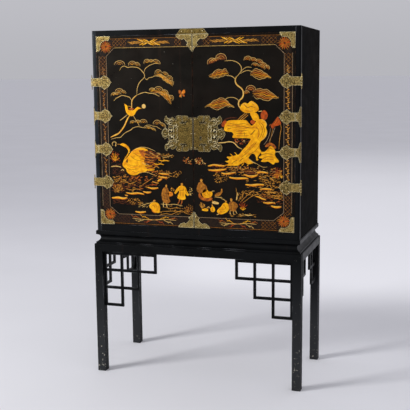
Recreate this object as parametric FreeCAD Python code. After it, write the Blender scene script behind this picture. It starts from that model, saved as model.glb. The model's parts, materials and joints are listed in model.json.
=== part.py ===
import FreeCAD, Part
import math
import os

# A lacquered two-door cabinet on a joined stand, in millimetres.
# X runs across the front, +Y to the back and +Z up. The origin is on the floor, under the
# middle of the stand, so the doors face -Y.

V = FreeCAD.Vector

# ---------------------------------------------------------------- driving dimensions
# Cabinet case
cabinet_width = 962.0
cabinet_depth = 452.0
cabinet_height = 936.0
side_thickness = 20.0
top_thickness = 20.0
bottom_thickness = 22.0
back_thickness = 12.0
back_board_count = 3
housing_depth = 10.0
case_edge_round = 2.0
bead_height = 20.0
bead_projection = 4.2

# Stand, which is a little wider and deeper than the case all round
stand_margin = 11.0
stand_height = 622.0
leg_side = 39.0
leg_edge_round = 1.5
stand_edge_round = 4.0
rail_height = 37.0
rail_thickness = 28.0
tenon_length = 18.0
tenon_thickness = 10.0
tenon_shoulder = 6.0

# Stepped fret brackets between the legs and the rails
fret_bar = 12.0
fret_top_bar = 16.0
fret_thickness = 10.0
fret_row_pitch = 84.0
front_fret_columns = (84.0, 84.0, 84.0)
side_fret_columns = (84.0, 52.0)

# Hollow moulding that the cabinet stands on
plinth_height = 42.0
plinth_lip_height = 8.0
plinth_lip_projection = 4.2
plinth_hollow_depth = 12.5
plinth_hollow_height = 26.0
plinth_inset = 36.0
plinth_back_thickness = 28.0

# Front frame round the doors
frame_depth = 22.0
stile_width = 22.0
stile_corner_round = 10.0
top_rail_height = 25.0
bottom_rail_height = 52.0
frame_tenon_length = 12.0
frame_tenon_thickness = 8.0
frame_tenon_shoulder = 4.0

# Shelves
shelf_thickness = 18.0
shelf_heights = (286.0, 576.0)
shelf_setback = 32.0
shelf_side_gap = 0.5
batten_width = 16.0
batten_height = 20.0
door_stop_height = 14.0
door_stop_depth = 18.0
door_stop_overlap = 5.0

# Doors
door_thickness = 22.0
door_gap = 1.0
meeting_gap = 2.0
door_proud = 0.5
stop_gap = 0.5
fittings_drop = 4.0

# Brass plates and hinges
plate_thickness = 2.0
plate_radius = 27.0
plate_cusp = 33.5
plate_inset = 37.0
strap_height = 36.0
hinge_pitch = 152.0
barrel_radius = 4.0
hinge_pin_radius = 2.0
running_clearance = 0.06
seated_clearance = 0.02
knuckle_gap = 0.4
leaf_length = 18.0
finial_length = 16.0
finial_radius = 3.4
sham_spike = 25.0
sham_return = 8.0
plate_edge_gap = 0.6
plate_meeting_gap = 1.5
corner_mount_reach = 67.0
corner_flower_offset = 47.0
corner_flower_radius = 29.0
centre_mount_width = 72.0
centre_mount_height = 74.0
rail_mount_top = 52.5
rail_mount_bottom = 70.5
lock_plate_width = 147.0
lock_plate_height = 158.0

# Nails
nail_head_radius = 2.2
nail_crown_radius = 1.2
nail_head_height = 0.9
nail_shank_radius = 0.9
nail_shank_length = 9.0

# Lock
keyhole_offset = 35.0
keyhole_drop = 16.0
keyhole_radius = 4.0
keyhole_slot_width = 5.0
keyhole_slot_drop = 11.0
lock_case_width = 90.0
lock_case_height = 70.0
lock_case_depth = 14.0
lock_case_edge = 2.0
lock_bolt_length = 50.0
lock_bolt_height = 12.0
lock_bolt_thickness = 7.0
lock_bolt_rise = 16.0
lock_bolt_cover = 4.0
lock_bolt_travel = 14.0
keep_width = 26.0
keep_height = 40.0
keep_pocket_depth = 12.0
keep_clearance = 0.6

# Barrel bolts on the inside of the left door
bolt_radius = 4.0
bolt_travel = 13.0
bolt_inset = 27.0
bolt_plate_width = 30.0
bolt_plate_length = 90.0
bolt_guide_width = 14.0
bolt_guide_height = 12.0
bolt_guide_inset = 3.0
bolt_stand_off = 6.5
bolt_guide_cover = 2.5
bolt_rest_gap = 0.5
bolt_end_margin = 4.0
bolt_knob_radius = 5.0
bolt_stem_radius = 2.5
bolt_stem_reach = 15.0
keeper_clearance = 0.6
keeper_thickness = 2.0
keeper_width = 34.0

# ---------------------------------------------------------------- places worked out from them
case_side = cabinet_width / 2
case_front = -cabinet_depth / 2
case_back = cabinet_depth / 2
half_stand_width = case_side + stand_margin
half_stand_depth = case_back + stand_margin
case_bottom = stand_height + plinth_height
case_top = case_bottom + cabinet_height
frame_back = case_front + frame_depth
opening_side = case_side - stile_width
inner_side = case_side - side_thickness
inner_back = case_back - back_thickness

door_outer = opening_side - door_gap
door_inner = meeting_gap / 2
door_bottom = case_bottom + bottom_rail_height + door_gap
door_top = case_top - top_rail_height - door_gap
door_face = case_front - door_proud
door_back = frame_back - stop_gap
door_front = door_back - door_thickness
fittings_height = (door_bottom + door_top) / 2 - fittings_drop
plate_face = door_face - plate_thickness

floor_top = door_bottom + door_stop_overlap
floor_bottom = floor_top - bottom_thickness
ceiling = case_top - top_thickness
stop_bottom = ceiling - door_stop_height

hinge_x = case_side + barrel_radius
hinge_y = plate_face + barrel_radius
knuckle_height = (strap_height - 2 * knuckle_gap) / 3
real_hinge_heights = (fittings_height - 1.5 * hinge_pitch, fittings_height + 1.5 * hinge_pitch)
sham_hinge_heights = (fittings_height - 0.5 * hinge_pitch, fittings_height + 0.5 * hinge_pitch)
plate_centre = door_outer - plate_inset
meeting_edge = door_inner + plate_meeting_gap

keyhole_x = door_inner + keyhole_offset
keyhole_height = fittings_height - keyhole_drop
lock_bolt_height_centre = keyhole_height + lock_bolt_rise
lock_bolt_front = door_back + lock_bolt_cover
bolt_x = -(door_inner + bolt_inset)
bolt_y = door_back + keeper_thickness + bolt_stand_off


# ---------------------------------------------------------------- drawing helpers
class Outline:
    """A closed outline of straight runs and arcs on one of three planes.

    front: a is X and b is Z; plan: a is X and b is Y; side: a is Y and b is Z.
    """

    POINTS = {
        "front": lambda a, b: V(a, 0, b),
        "plan": lambda a, b: V(a, b, 0),
        "side": lambda a, b: V(0, a, b),
    }
    ACROSS = {"front": V(0, 1, 0), "plan": V(0, 0, 1), "side": V(1, 0, 0)}

    def __init__(self, plane, a, b):
        self.plane = plane
        self.start = self.POINTS[plane](a, b)
        self.here = self.start
        self.edges = []

    def line(self, a, b):
        there = self.POINTS[self.plane](a, b)
        self.edges.append(Part.LineSegment(self.here, there).toShape())
        self.here = there
        return self

    def arc(self, via_a, via_b, a, b):
        via = self.POINTS[self.plane](via_a, via_b)
        there = self.POINTS[self.plane](a, b)
        self.edges.append(Part.Arc(self.here, via, there).toShape())
        self.here = there
        return self

    def prism(self, low, high):
        """Close the outline and extrude it from low to high, across its plane."""
        edges = list(self.edges)
        if (self.here - self.start).Length > 1e-6:
            edges.append(Part.LineSegment(self.here, self.start).toShape())
        face = Part.Face(Part.Wire(edges))
        across = self.ACROSS[self.plane]
        face.translate(across * low)
        return face.extrude(across * (high - low))


def block(x0, x1, y0, y1, z0, z1):
    """A box between two corners."""
    return Part.makeBox(x1 - x0, y1 - y0, z1 - z0, V(x0, y0, z0))


def rod(x, y, z0, z1, radius):
    """An upright cylinder."""
    return Part.makeCylinder(radius, z1 - z0, V(x, y, z0), V(0, 0, 1))


def hole(x, z, y0, y1, radius):
    """A cylinder that runs from front to back."""
    return Part.makeCylinder(radius, y1 - y0, V(x, y0, z), V(0, 1, 0))


def joined(shapes):
    """One solid from shapes that meet."""
    first, rest = shapes[0], shapes[1:]
    return first.multiFuse(rest).removeSplitter() if rest else first


def group(shapes):
    """Separate solids that share one node."""
    return Part.makeCompound([solid for shape in shapes for solid in shape.Solids])


def to_left(shape):
    """The same piece on the other side of the centre line."""
    return shape.mirror(V(0, 0, 0), V(1, 0, 0))


def turned(shape, degrees):
    """A copy turned about the upright axis through the origin."""
    copy = shape.copy()
    copy.rotate(V(0, 0, 0), V(0, 0, 1), degrees)
    return copy


def polar(x, z, radius, degrees):
    """A point on a circle drawn on the front."""
    angle = math.radians(degrees)
    return x + radius * math.cos(angle), z + radius * math.sin(angle)


# ---------------------------------------------------------------- stand
def stand_envelope():
    """The stand's outer form: softened corners, and a rounded upper edge."""
    form = block(-half_stand_width, half_stand_width, -half_stand_depth, half_stand_depth,
                 0, stand_height)
    upright = [e for e in form.Edges if abs(e.Vertexes[0].Z - e.Vertexes[1].Z) > 1]
    form = form.makeFillet(leg_edge_round, upright)
    upper = [e for e in form.Edges if all(abs(v.Z - stand_height) < 0.01 for v in e.Vertexes)]
    return form.makeFillet(stand_edge_round, upper)


def stand_rail(half_span, face):
    """A rail that faces -Y between two legs, with a tenon at each end."""
    rail_bottom = stand_height - rail_height
    body = block(-half_span, half_span, face, face + rail_thickness, rail_bottom, stand_height)
    tenon_face = face + (rail_thickness - tenon_thickness) / 2
    tenon = block(-half_span - tenon_length, half_span + tenon_length,
                  tenon_face, tenon_face + tenon_thickness,
                  rail_bottom + tenon_shoulder, stand_height - tenon_shoulder)
    return joined([body, tenon])


def fret(columns):
    """A stepped lattice in the corner below a rail: each row has one cell fewer.

    It stands in the XZ plane with its upper corner at the origin and runs to +X and -Z.
    """
    edges = [sum(columns[:n]) for n in range(len(columns) + 1)]
    plates = []
    cells = []
    for row in range(len(columns)):
        count = len(columns) - row
        top = -row * fret_row_pitch
        bottom = top - fret_row_pitch - fret_bar
        cell_top = top - (fret_bar if row else fret_top_bar)
        half = fret_thickness / 2
        plates.append(block(0, edges[count] + fret_bar, -half, half, bottom, top))
        for column in range(count):
            cells.append(block(edges[column] + fret_bar, edges[column + 1], -half, half,
                               bottom + fret_bar, cell_top))
    return joined(plates).cut(Part.makeCompound(cells))


def build_stand():
    nodes = {}
    form = stand_envelope()
    front_rail = stand_rail(half_stand_width - leg_side, -half_stand_depth)
    side_rail = stand_rail(half_stand_depth - leg_side, -half_stand_width)
    rails = {
        "front_rail": front_rail,
        "back_rail": turned(front_rail, 180),
        "right_rail": turned(side_rail, 90),
        "left_rail": turned(side_rail, -90),
    }
    tenons = Part.makeCompound(list(rails.values()))
    for name, side, end in (("front_left_leg", -1, -1), ("front_right_leg", 1, -1),
                            ("back_left_leg", -1, 1), ("back_right_leg", 1, 1)):
        outer_x, inner_x = side * half_stand_width, side * (half_stand_width - leg_side)
        outer_y, inner_y = end * half_stand_depth, end * (half_stand_depth - leg_side)
        leg = block(min(outer_x, inner_x), max(outer_x, inner_x),
                    min(outer_y, inner_y), max(outer_y, inner_y), 0, stand_height)
        nodes[name] = leg.common(form).cut(tenons)
    for name, rail in rails.items():
        nodes[name] = rail.common(form)

    # Each fret lies in the middle of the legs' thickness, under its rail.
    fret_top = stand_height - rail_height
    leg_middle = leg_side / 2
    front = fret(front_fret_columns)
    front.translate(V(-half_stand_width + leg_side, -half_stand_depth + leg_middle, fret_top))
    nodes["front_left_fret"] = front
    nodes["front_right_fret"] = to_left(front)
    side = turned(fret(side_fret_columns), 90)
    side.translate(V(-half_stand_width + leg_middle, -half_stand_depth + leg_side, fret_top))
    nodes["left_front_fret"] = side
    nodes["left_back_fret"] = side.mirror(V(0, 0, 0), V(0, 1, 0))
    nodes["right_front_fret"] = to_left(side)
    nodes["right_back_fret"] = to_left(nodes["left_back_fret"])
    return nodes


# ---------------------------------------------------------------- mouldings
def mitred_run(section, half_length, distance, outer, inner, low, high, mitred_ends):
    """A moulding that faces -Y. Each end is mitred, or is cut square at half_length."""
    plan = []
    for end, mitred in zip((-1, 1), mitred_ends):
        plan.append((end * (half_length + outer * mitred), -distance - outer))
        plan.append((end * (half_length - inner * mitred), -distance + inner))
    left_outer, left_inner, right_outer, right_inner = plan
    outline = Outline("plan", *left_outer).line(*right_outer).line(*right_inner)
    outline.line(*left_inner)
    reach = half_length + outer
    return section.prism(-reach, reach).common(outline.prism(low, high))


def plinth_section(distance):
    """Lip, deep hollow and upper edge; the hollow's two arcs meet at its deepest point."""
    lip = -distance - plinth_lip_projection
    deepest = -distance + plinth_hollow_depth
    lower_via = deepest - 0.38 * (plinth_hollow_depth + plinth_lip_projection)
    upper_via = deepest - 0.28 * plinth_hollow_depth
    lip_top = stand_height + plinth_lip_height
    hollow_z = stand_height + plinth_hollow_height
    outline = Outline("side", -distance + plinth_inset, stand_height)
    outline.line(lip, stand_height).line(lip, lip_top)
    outline.arc(lower_via, lip_top + 0.34 * (hollow_z - lip_top), deepest, hollow_z)
    outline.arc(upper_via, hollow_z + 0.63 * (case_bottom - hollow_z), -distance, case_bottom)
    outline.line(-distance + plinth_inset, case_bottom)
    return outline


def bead_section(distance):
    """A flat strip with rounded edges, planted on the case."""
    face = -distance - bead_projection
    turn = bead_projection * (1 - math.sqrt(0.5))
    top = case_bottom + bead_height
    outline = Outline("side", -distance, case_bottom)
    outline.arc(face + turn, case_bottom + turn, face, case_bottom + bead_projection)
    outline.line(face, top - bead_projection)
    outline.arc(face + turn, top - turn, -distance, top)
    return outline


def three_runs(make_section, outer, inner, low, high):
    """Front, left and right runs of one moulding: mitred in front, square at the back."""
    half_width, half_depth = case_side, case_back
    front = mitred_run(make_section(half_depth), half_width, half_depth, outer, inner,
                       low, high, (True, True))
    side = mitred_run(make_section(half_width), half_depth, half_width, outer, inner,
                      low, high, (True, False))
    right = turned(side, 90)
    return front, to_left(right), right


def build_mouldings():
    nodes = {}
    names = ("plinth_front", "plinth_left", "plinth_right")
    runs = three_runs(plinth_section, plinth_lip_projection, plinth_inset,
                      stand_height, case_bottom)
    nodes.update(zip(names, runs))
    inner_run = case_side - plinth_inset
    nodes["plinth_back"] = block(-inner_run, inner_run, case_back - plinth_back_thickness,
                                 case_back, stand_height, case_bottom)
    names = ("front_bead", "left_bead", "right_bead")
    runs = three_runs(bead_section, bead_projection, 0.0,
                      case_bottom, case_bottom + bead_height)
    nodes.update(zip(names, runs))
    return nodes


# ---------------------------------------------------------------- case
def case_envelope():
    """The case's outer form, with its upper edges softened."""
    form = block(-case_side, case_side, case_front, case_back, case_bottom, case_top)
    upper = [e for e in form.Edges if all(abs(v.Z - case_top) < 0.01 for v in e.Vertexes)]
    return form.makeFillet(case_edge_round, upper)


def right_stile():
    """A stile whose outer corner is rounded above the bead."""
    bead_top = case_bottom + bead_height
    foot = block(opening_side, case_side, case_front, frame_back, case_bottom, bead_top)
    bend_x = case_side - stile_corner_round
    bend_y = case_front + stile_corner_round
    middle = stile_corner_round * math.sqrt(0.5)
    outline = Outline("plan", opening_side, case_front).line(bend_x, case_front)
    outline.arc(bend_x + middle, bend_y - middle, case_side, bend_y)
    outline.line(case_side, frame_back).line(opening_side, frame_back)
    return joined([foot, outline.prism(bead_top, case_top)])


def frame_rail(low, high):
    """A rail between the stiles, with a tenon at each end."""
    body = block(-opening_side, opening_side, case_front, frame_back, low, high)
    tenon_front = (case_front + frame_back - frame_tenon_thickness) / 2
    reach = opening_side + frame_tenon_length
    tenon = block(-reach, reach, tenon_front, tenon_front + frame_tenon_thickness,
                  low + frame_tenon_shoulder, high - frame_tenon_shoulder)
    return joined([body, tenon])


def case_nail_places():
    """Nails of the rail mount: front places on the top rail."""
    height = case_top - top_rail_height / 2
    spread = rail_mount_top - 2 * nail_head_radius
    return [(-spread, height), (0.0, height), (spread, height)]


def bolt_hole(z0, z1):
    """Room for a barrel bolt in the piece that it shoots into."""
    return rod(bolt_x, bolt_y, z0, z1, bolt_radius + keeper_clearance)


def build_case():
    nodes = {}
    form = case_envelope()
    housed = inner_side + housing_depth
    top = block(-housed, housed, frame_back, case_back, ceiling, case_top)
    bottom = block(-housed, housed, frame_back, inner_back, floor_bottom, floor_top)
    backs = block(-housed, housed, inner_back, case_back, case_bottom, ceiling)
    side = block(inner_side, case_side, frame_back, case_back, case_bottom, case_top)
    side = side.cut(Part.makeCompound([top, bottom, backs])).common(form)
    nodes["right_side"] = side
    nodes["left_side"] = to_left(side)
    nodes["top_board"] = top.common(form)

    lower_hole = bolt_hole(floor_top - bolt_travel - bolt_rest_gap, floor_top)
    nodes["bottom_board"] = bottom.cut(lower_hole)

    board_width = 2 * housed / back_board_count
    boards = []
    for number in range(back_board_count):
        left = -housed + number * board_width
        boards.append(block(left, left + board_width, inner_back, case_back,
                            case_bottom, ceiling))
    nodes["back_boards"] = group(boards)

    rails = {
        "top_rail": frame_rail(case_top - top_rail_height, case_top),
        "bottom_rail": frame_rail(case_bottom, case_bottom + bottom_rail_height),
    }
    stile = right_stile().cut(Part.makeCompound(list(rails.values()))).common(form)
    nodes["right_stile"] = stile
    nodes["left_stile"] = to_left(stile)
    nodes["bottom_rail"] = rails["bottom_rail"]
    nodes["top_rail"] = rails["top_rail"].common(form)

    stop = block(-inner_side, inner_side, frame_back, frame_back + door_stop_depth,
                 stop_bottom, ceiling)
    nodes["door_stop"] = stop.cut(bolt_hole(stop_bottom, ceiling))

    shelf_front = frame_back + shelf_setback
    shelf_side = inner_side - shelf_side_gap
    battens = []
    for name, height in zip(("lower_shelf", "upper_shelf"), shelf_heights):
        underside = floor_top + height
        nodes[name] = block(-shelf_side, shelf_side, shelf_front, inner_back,
                            underside, underside + shelf_thickness)
        batten = block(inner_side - batten_width, inner_side, shelf_front, inner_back,
                       underside - batten_height, underside)
        battens += [batten, to_left(batten)]
    nodes["shelf_battens"] = group(battens)
    return nodes


# ---------------------------------------------------------------- nails
def front_nail(x, z, face):
    """A round-headed nail driven to +Y through a plate whose front is at face."""
    head = Part.makeCone(nail_crown_radius, nail_head_radius, nail_head_height,
                         V(x, face - nail_head_height, z), V(0, 1, 0))
    return joined([head, hole(x, z, face, face + nail_shank_length, nail_shank_radius)])


def side_nail(y, z, face):
    """A nail driven to -X through a plate whose outer face is at face."""
    head = Part.makeCone(nail_crown_radius, nail_head_radius, nail_head_height,
                         V(face + nail_head_height, y, z), V(-1, 0, 0))
    shank = Part.makeCylinder(nail_shank_radius, nail_shank_length, V(face, y, z), V(-1, 0, 0))
    return joined([head, shank])


# ---------------------------------------------------------------- hinge plates
def flower_plate(height, strap_end, back):
    """A round plate with three cusps, and a strap that runs out to strap_end."""
    half_strap = strap_height / 2
    shoulder = math.degrees(math.asin(half_strap / plate_radius))
    flank, dip = 22, 9
    dip_radius = plate_radius + 0.3 * (plate_cusp - plate_radius)
    centre = (plate_centre, height)
    outline = Outline("front", strap_end, height - half_strap)
    outline.line(strap_end, height + half_strap)
    outline.line(*polar(*centre, plate_radius, shoulder))
    last = shoulder
    for cusp in (86, 180, 274):
        start = cusp - flank
        outline.arc(*polar(*centre, plate_radius, (last + start) / 2),
                    *polar(*centre, plate_radius, start))
        outline.arc(*polar(*centre, dip_radius, cusp - dip), *polar(*centre, plate_cusp, cusp))
        outline.arc(*polar(*centre, dip_radius, cusp + dip),
                    *polar(*centre, plate_radius, cusp + flank))
        last = cusp + flank
    end = 360 - shoulder
    outline.arc(*polar(*centre, plate_radius, (last + end) / 2),
                *polar(*centre, plate_radius, end))
    return outline.prism(back - plate_thickness, back)


def hinge_bore(height, clearance):
    return rod(hinge_x, hinge_y, height - strap_height, height + strap_height,
               hinge_pin_radius + clearance)


def hinge_strap(height):
    """The door's half of a hinge: plate, strap and middle knuckle."""
    strap_end = hinge_x - barrel_radius - knuckle_gap
    plate = flower_plate(height, strap_end, door_face)
    half_knuckle = knuckle_height / 2
    tongue = block(strap_end, hinge_x, plate_face, door_face,
                   height - half_knuckle, height + half_knuckle)
    knuckle = rod(hinge_x, hinge_y, height - half_knuckle, height + half_knuckle,
                  barrel_radius)
    return joined([plate, tongue, knuckle]).cut(hinge_bore(height, running_clearance))


def hinge_leaf(height):
    """The case's half of a hinge: a leaf on the side with two knuckles."""
    half_strap = strap_height / 2
    leaf = block(case_side, case_side + plate_thickness, hinge_y, hinge_y + leaf_length,
                 height - half_strap, height + half_strap)
    inner = knuckle_height / 2 + knuckle_gap
    upper = rod(hinge_x, hinge_y, height + inner, height + half_strap, barrel_radius)
    lower = rod(hinge_x, hinge_y, height - half_strap, height - inner, barrel_radius)
    notch_reach = barrel_radius + knuckle_gap
    notch = block(case_side, case_side + plate_thickness, hinge_y, hinge_y + notch_reach,
                  height - inner, height + inner)
    leaf = leaf.cut(notch)
    return joined([leaf, upper, lower]).cut(hinge_bore(height, seated_clearance))


def hinge_pin(height):
    """A loose pin with a turned finial above and below the barrel."""
    half_strap = strap_height / 2
    pieces = [rod(hinge_x, hinge_y, height - half_strap, height + half_strap,
                  hinge_pin_radius)]
    for end in (-1, 1):
        base = V(hinge_x, hinge_y, height + end * half_strap)
        along = V(0, 0, end)
        waist = 0.45 * finial_length
        pieces.append(Part.makeCone(finial_radius, 0.4 * finial_radius, waist, base, along))
        pieces.append(Part.makeCone(0.4 * finial_radius, 0.75 * finial_radius,
                                    0.2 * finial_length, base + along * waist, along))
        pieces.append(Part.makeCone(0.75 * finial_radius, 0.15 * finial_radius,
                                    0.35 * finial_length,
                                    base + along * (0.65 * finial_length), along))
    return joined(pieces)


def sham_corner_plate(height):
    """A plate bent round the stile's corner, with a spike above and below it."""
    bend_x = case_side - stile_corner_round
    bend_y = case_front + stile_corner_round
    outer = stile_corner_round + plate_thickness
    outer_mid = outer * math.sqrt(0.5)
    inner_mid = stile_corner_round * math.sqrt(0.5)
    edge = opening_side + plate_edge_gap
    return_end = bend_y + sham_return
    band = Outline("plan", edge, case_front).line(edge, case_front - plate_thickness)
    band.line(bend_x, case_front - plate_thickness)
    band.arc(bend_x + outer_mid, bend_y - outer_mid, bend_x + outer, bend_y)
    band.line(bend_x + outer, return_end).line(case_side, return_end)
    band.line(case_side, bend_y)
    band.arc(bend_x + inner_mid, bend_y - inner_mid, bend_x, case_front)
    half_strap = strap_height / 2
    tip = half_strap + sham_spike
    tip_x = case_side - 0.1 * stile_corner_round
    root_x = bend_x + 0.2 * stile_corner_round
    beyond = case_side + 2 * plate_thickness
    shape = Outline("front", edge, height - half_strap).line(root_x, height - half_strap)
    shape.line(tip_x, height - tip).line(beyond, height - tip)
    shape.line(beyond, height + tip).line(tip_x, height + tip)
    shape.line(root_x, height + half_strap).line(edge, height + half_strap)
    cutter = shape.prism(case_front - outer, return_end)
    return band.prism(height - tip, height + tip).common(cutter)


# ---------------------------------------------------------------- corner, centre and lock mounts
def corner_mount(edge, inward):
    """A plate in a door's outer corner, hollowed round a painted flower.

    inward is -1 below a door's upper edge and 1 above its lower edge.
    """
    reach, middle, radius = corner_mount_reach, corner_flower_offset, corner_flower_radius
    start = middle + 0.3 * radius
    hollow = middle - math.sqrt(radius ** 2 - (start - middle) ** 2)
    diagonal = middle - radius * math.sqrt(0.5)
    lip = 0.55 * hollow
    right = door_outer - plate_edge_gap

    def at(across, along):
        return right - across, edge + inward * along

    outline = Outline("front", *at(0, 0)).line(*at(reach, 0)).line(*at(reach, lip))
    outline.line(*at(start, hollow)).arc(*at(diagonal, diagonal), *at(hollow, start))
    outline.line(*at(lip, reach)).line(*at(0, reach))
    return outline.prism(plate_face, door_face)


def centre_mount(edge, inward):
    """Half of the stepped triangle that the two doors share at their meeting edges."""
    def at(across, along):
        """Shares of the mount's width and height."""
        return (meeting_edge + across * centre_mount_width,
                edge + inward * along * centre_mount_height)

    outline = Outline("front", *at(0, 0)).line(*at(1, 0)).line(*at(0.99, 0.07))
    outline.arc(*at(0.79, 0.25), *at(0.60, 0.30)).line(*at(0.53, 0.24))
    outline.arc(*at(0.36, 0.36), *at(0.24, 0.50)).line(*at(0.33, 0.62))
    outline.arc(*at(0.14, 0.78), *at(0, 1))
    return outline.prism(plate_face, door_face)


def rail_mount():
    """The part of the upper centre mount that is on the top rail."""
    low = case_top - top_rail_height
    outline = Outline("front", -rail_mount_bottom, low).line(rail_mount_bottom, low)
    outline.line(rail_mount_top, case_top - case_edge_round)
    outline.line(-rail_mount_top, case_top - case_edge_round)
    return outline.prism(case_front - plate_thickness, case_front)


def keyhole(x, y0, y1):
    """A round hole with a slot below it."""
    half_slot = keyhole_slot_width / 2
    slot = block(x - half_slot, x + half_slot, y0, y1,
                 keyhole_height - keyhole_slot_drop, keyhole_height)
    return joined([hole(x, keyhole_height, y0, y1, keyhole_radius), slot])


def ring_slot(x, z, inner, outer, start, end):
    """Part of a ring between two angles, through the thickness of a door's plate."""
    middle = (start + end) / 2
    outline = Outline("front", *polar(x, z, inner, start)).line(*polar(x, z, outer, start))
    outline.arc(*polar(x, z, outer, middle), *polar(x, z, outer, end))
    outline.line(*polar(x, z, inner, end))
    outline.arc(*polar(x, z, inner, middle), *polar(x, z, inner, start))
    return outline.prism(plate_face, door_face)


def on_lock_plate(across, up):
    """A place on the lock plate, in shares of its width and of half its height."""
    return (meeting_edge + across * lock_plate_width,
            fittings_height + up * lock_plate_height / 2)


def lock_plate_upper_half():
    """Scrolled upper edge, corner palmette and half of the middle leaf, with piercings."""
    at = on_lock_plate
    outline = Outline("front", *at(0, 0)).line(*at(0, 0.89)).line(*at(0.11, 0.89))
    outline.line(*at(0.13, 0.84)).arc(*at(0.15, 0.96), *at(0.20, 1.0)).line(*at(0.41, 1.0))
    outline.arc(*at(0.50, 0.98), *at(0.53, 0.88)).arc(*at(0.52, 0.82), *at(0.48, 0.78))
    outline.line(*at(0.54, 0.71)).arc(*at(0.58, 0.85), *at(0.65, 0.90))
    outline.arc(*at(0.69, 0.87), *at(0.73, 0.82)).arc(*at(0.78, 0.86), *at(0.83, 1.0))
    outline.arc(*at(0.88, 0.89), *at(0.895, 0.76)).arc(*at(0.88, 0.65), *at(0.83, 0.57))
    outline.arc(*at(0.775, 0.51), *at(0.75, 0.41)).arc(*at(0.775, 0.32), *at(0.785, 0.22))
    outline.line(*at(0.82, 0.24)).line(*at(0.89, 0.34)).line(*at(0.905, 0.25))
    outline.arc(*at(0.945, 0.21), *at(0.97, 0.12)).line(*at(1, 0))
    plate = outline.prism(plate_face, door_face)

    # A slit between the two upper scrolls ends in two curls.
    slit = Outline("front", *at(0.30, 0.66)).line(*at(0.33, 1.02)).line(*at(0.36, 1.02))
    slit.line(*at(0.325, 0.66))
    cuts = [slit.prism(plate_face, door_face)]
    scale = lock_plate_width
    for across, up, inner, outer, start, end in (
            (0.255, 0.68, 0.040, 0.066, 180, 360),
            (0.355, 0.67, 0.034, 0.060, 180, 350),
            (0.555, 0.39, 0.026, 0.052, 60, 290),
            (0.690, 0.20, 0.128, 0.155, 80, 118),
            (0.690, 0.20, 0.046, 0.076, 15, 105),
            (0.690, 0.20, 0.046, 0.076, 135, 225),
            (0.690, 0.20, 0.046, 0.076, 255, 345)):
        x, z = at(across, up)
        cuts.append(ring_slot(x, z, inner * scale, outer * scale, start, end))
    for across, up, radius in ((0.65, 0.64, 0.020), (0.79, 0.72, 0.018), (0.83, 0.11, 0.015),
                               (0.95, 0.05, 0.013)):
        x, z = at(across, up)
        cuts.append(hole(x, z, plate_face, door_face, radius * scale))
    return plate.cut(Part.makeCompound(cuts))


def lock_plate():
    """Half of the lock plate: the pierced outline is the same above and below its middle."""
    upper = lock_plate_upper_half()
    lower = upper.mirror(V(0, 0, fittings_height), V(0, 0, 1))
    return joined([upper, lower])


def door_nail_places():
    """Where nails go through the right door's plates."""
    places = []
    for height in real_hinge_heights + sham_hinge_heights:
        for degrees in (55, 140, 220, 305):
            places.append(polar(plate_centre, height, 0.78 * plate_radius, degrees))
    edge = 2.6 * nail_head_radius
    right = door_outer - plate_edge_gap
    reach = corner_mount_reach - edge
    for height, inward in ((door_top, -1), (door_bottom, 1)):
        for across, along in ((edge, edge), (reach, edge), (edge, reach)):
            places.append((right - across, height + inward * along))
        for across, along in ((edge, edge), (centre_mount_width * 0.78, edge),
                              (edge, centre_mount_height * 0.72)):
            places.append((meeting_edge + across, height + inward * along))
    for across, up in ((0.04, 0.80), (0.43, 0.90), (0.72, 0.74), (0.46, 0.40)):
        places += [on_lock_plate(across, up), on_lock_plate(across, -up)]
    places += [on_lock_plate(0.04, 0), on_lock_plate(0.88, 0)]
    return places


# ---------------------------------------------------------------- lock and bolts
def lock_bolt_block(margin, x0, x1):
    """The lock bolt's section from x0 to x1, larger by margin all round."""
    half_height = lock_bolt_height / 2 + margin
    return block(x0, x1, lock_bolt_front - margin,
                 lock_bolt_front + lock_bolt_thickness + margin,
                 lock_bolt_height_centre - half_height, lock_bolt_height_centre + half_height)


def build_lock():
    """Case and bolt on the right door, and the keep on the left door."""
    case_edge = door_inner + lock_case_edge
    half_height = lock_case_height / 2
    box = block(case_edge, case_edge + lock_case_width, door_back, door_back + lock_case_depth,
                keyhole_height - half_height, keyhole_height + half_height)
    pocket = lock_bolt_block(running_clearance, case_edge,
                             case_edge + lock_bolt_length + bolt_rest_gap)
    key_room = keyhole(keyhole_x, door_back, door_back + lock_case_depth / 2)
    bolt = lock_bolt_block(0.0, case_edge, case_edge + lock_bolt_length)
    keep_edge = -case_edge
    keep_half = keep_height / 2
    keep = block(keep_edge - keep_width, keep_edge, door_back, door_back + lock_case_depth,
                 lock_bolt_height_centre - keep_half, lock_bolt_height_centre + keep_half)
    room = lock_bolt_block(keep_clearance, keep_edge - keep_pocket_depth, keep_edge)
    return {
        "lock_case": box.cut(pocket).cut(key_room),
        "lock_bolt": bolt,
        "lock_keep": keep.cut(room),
    }


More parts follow.
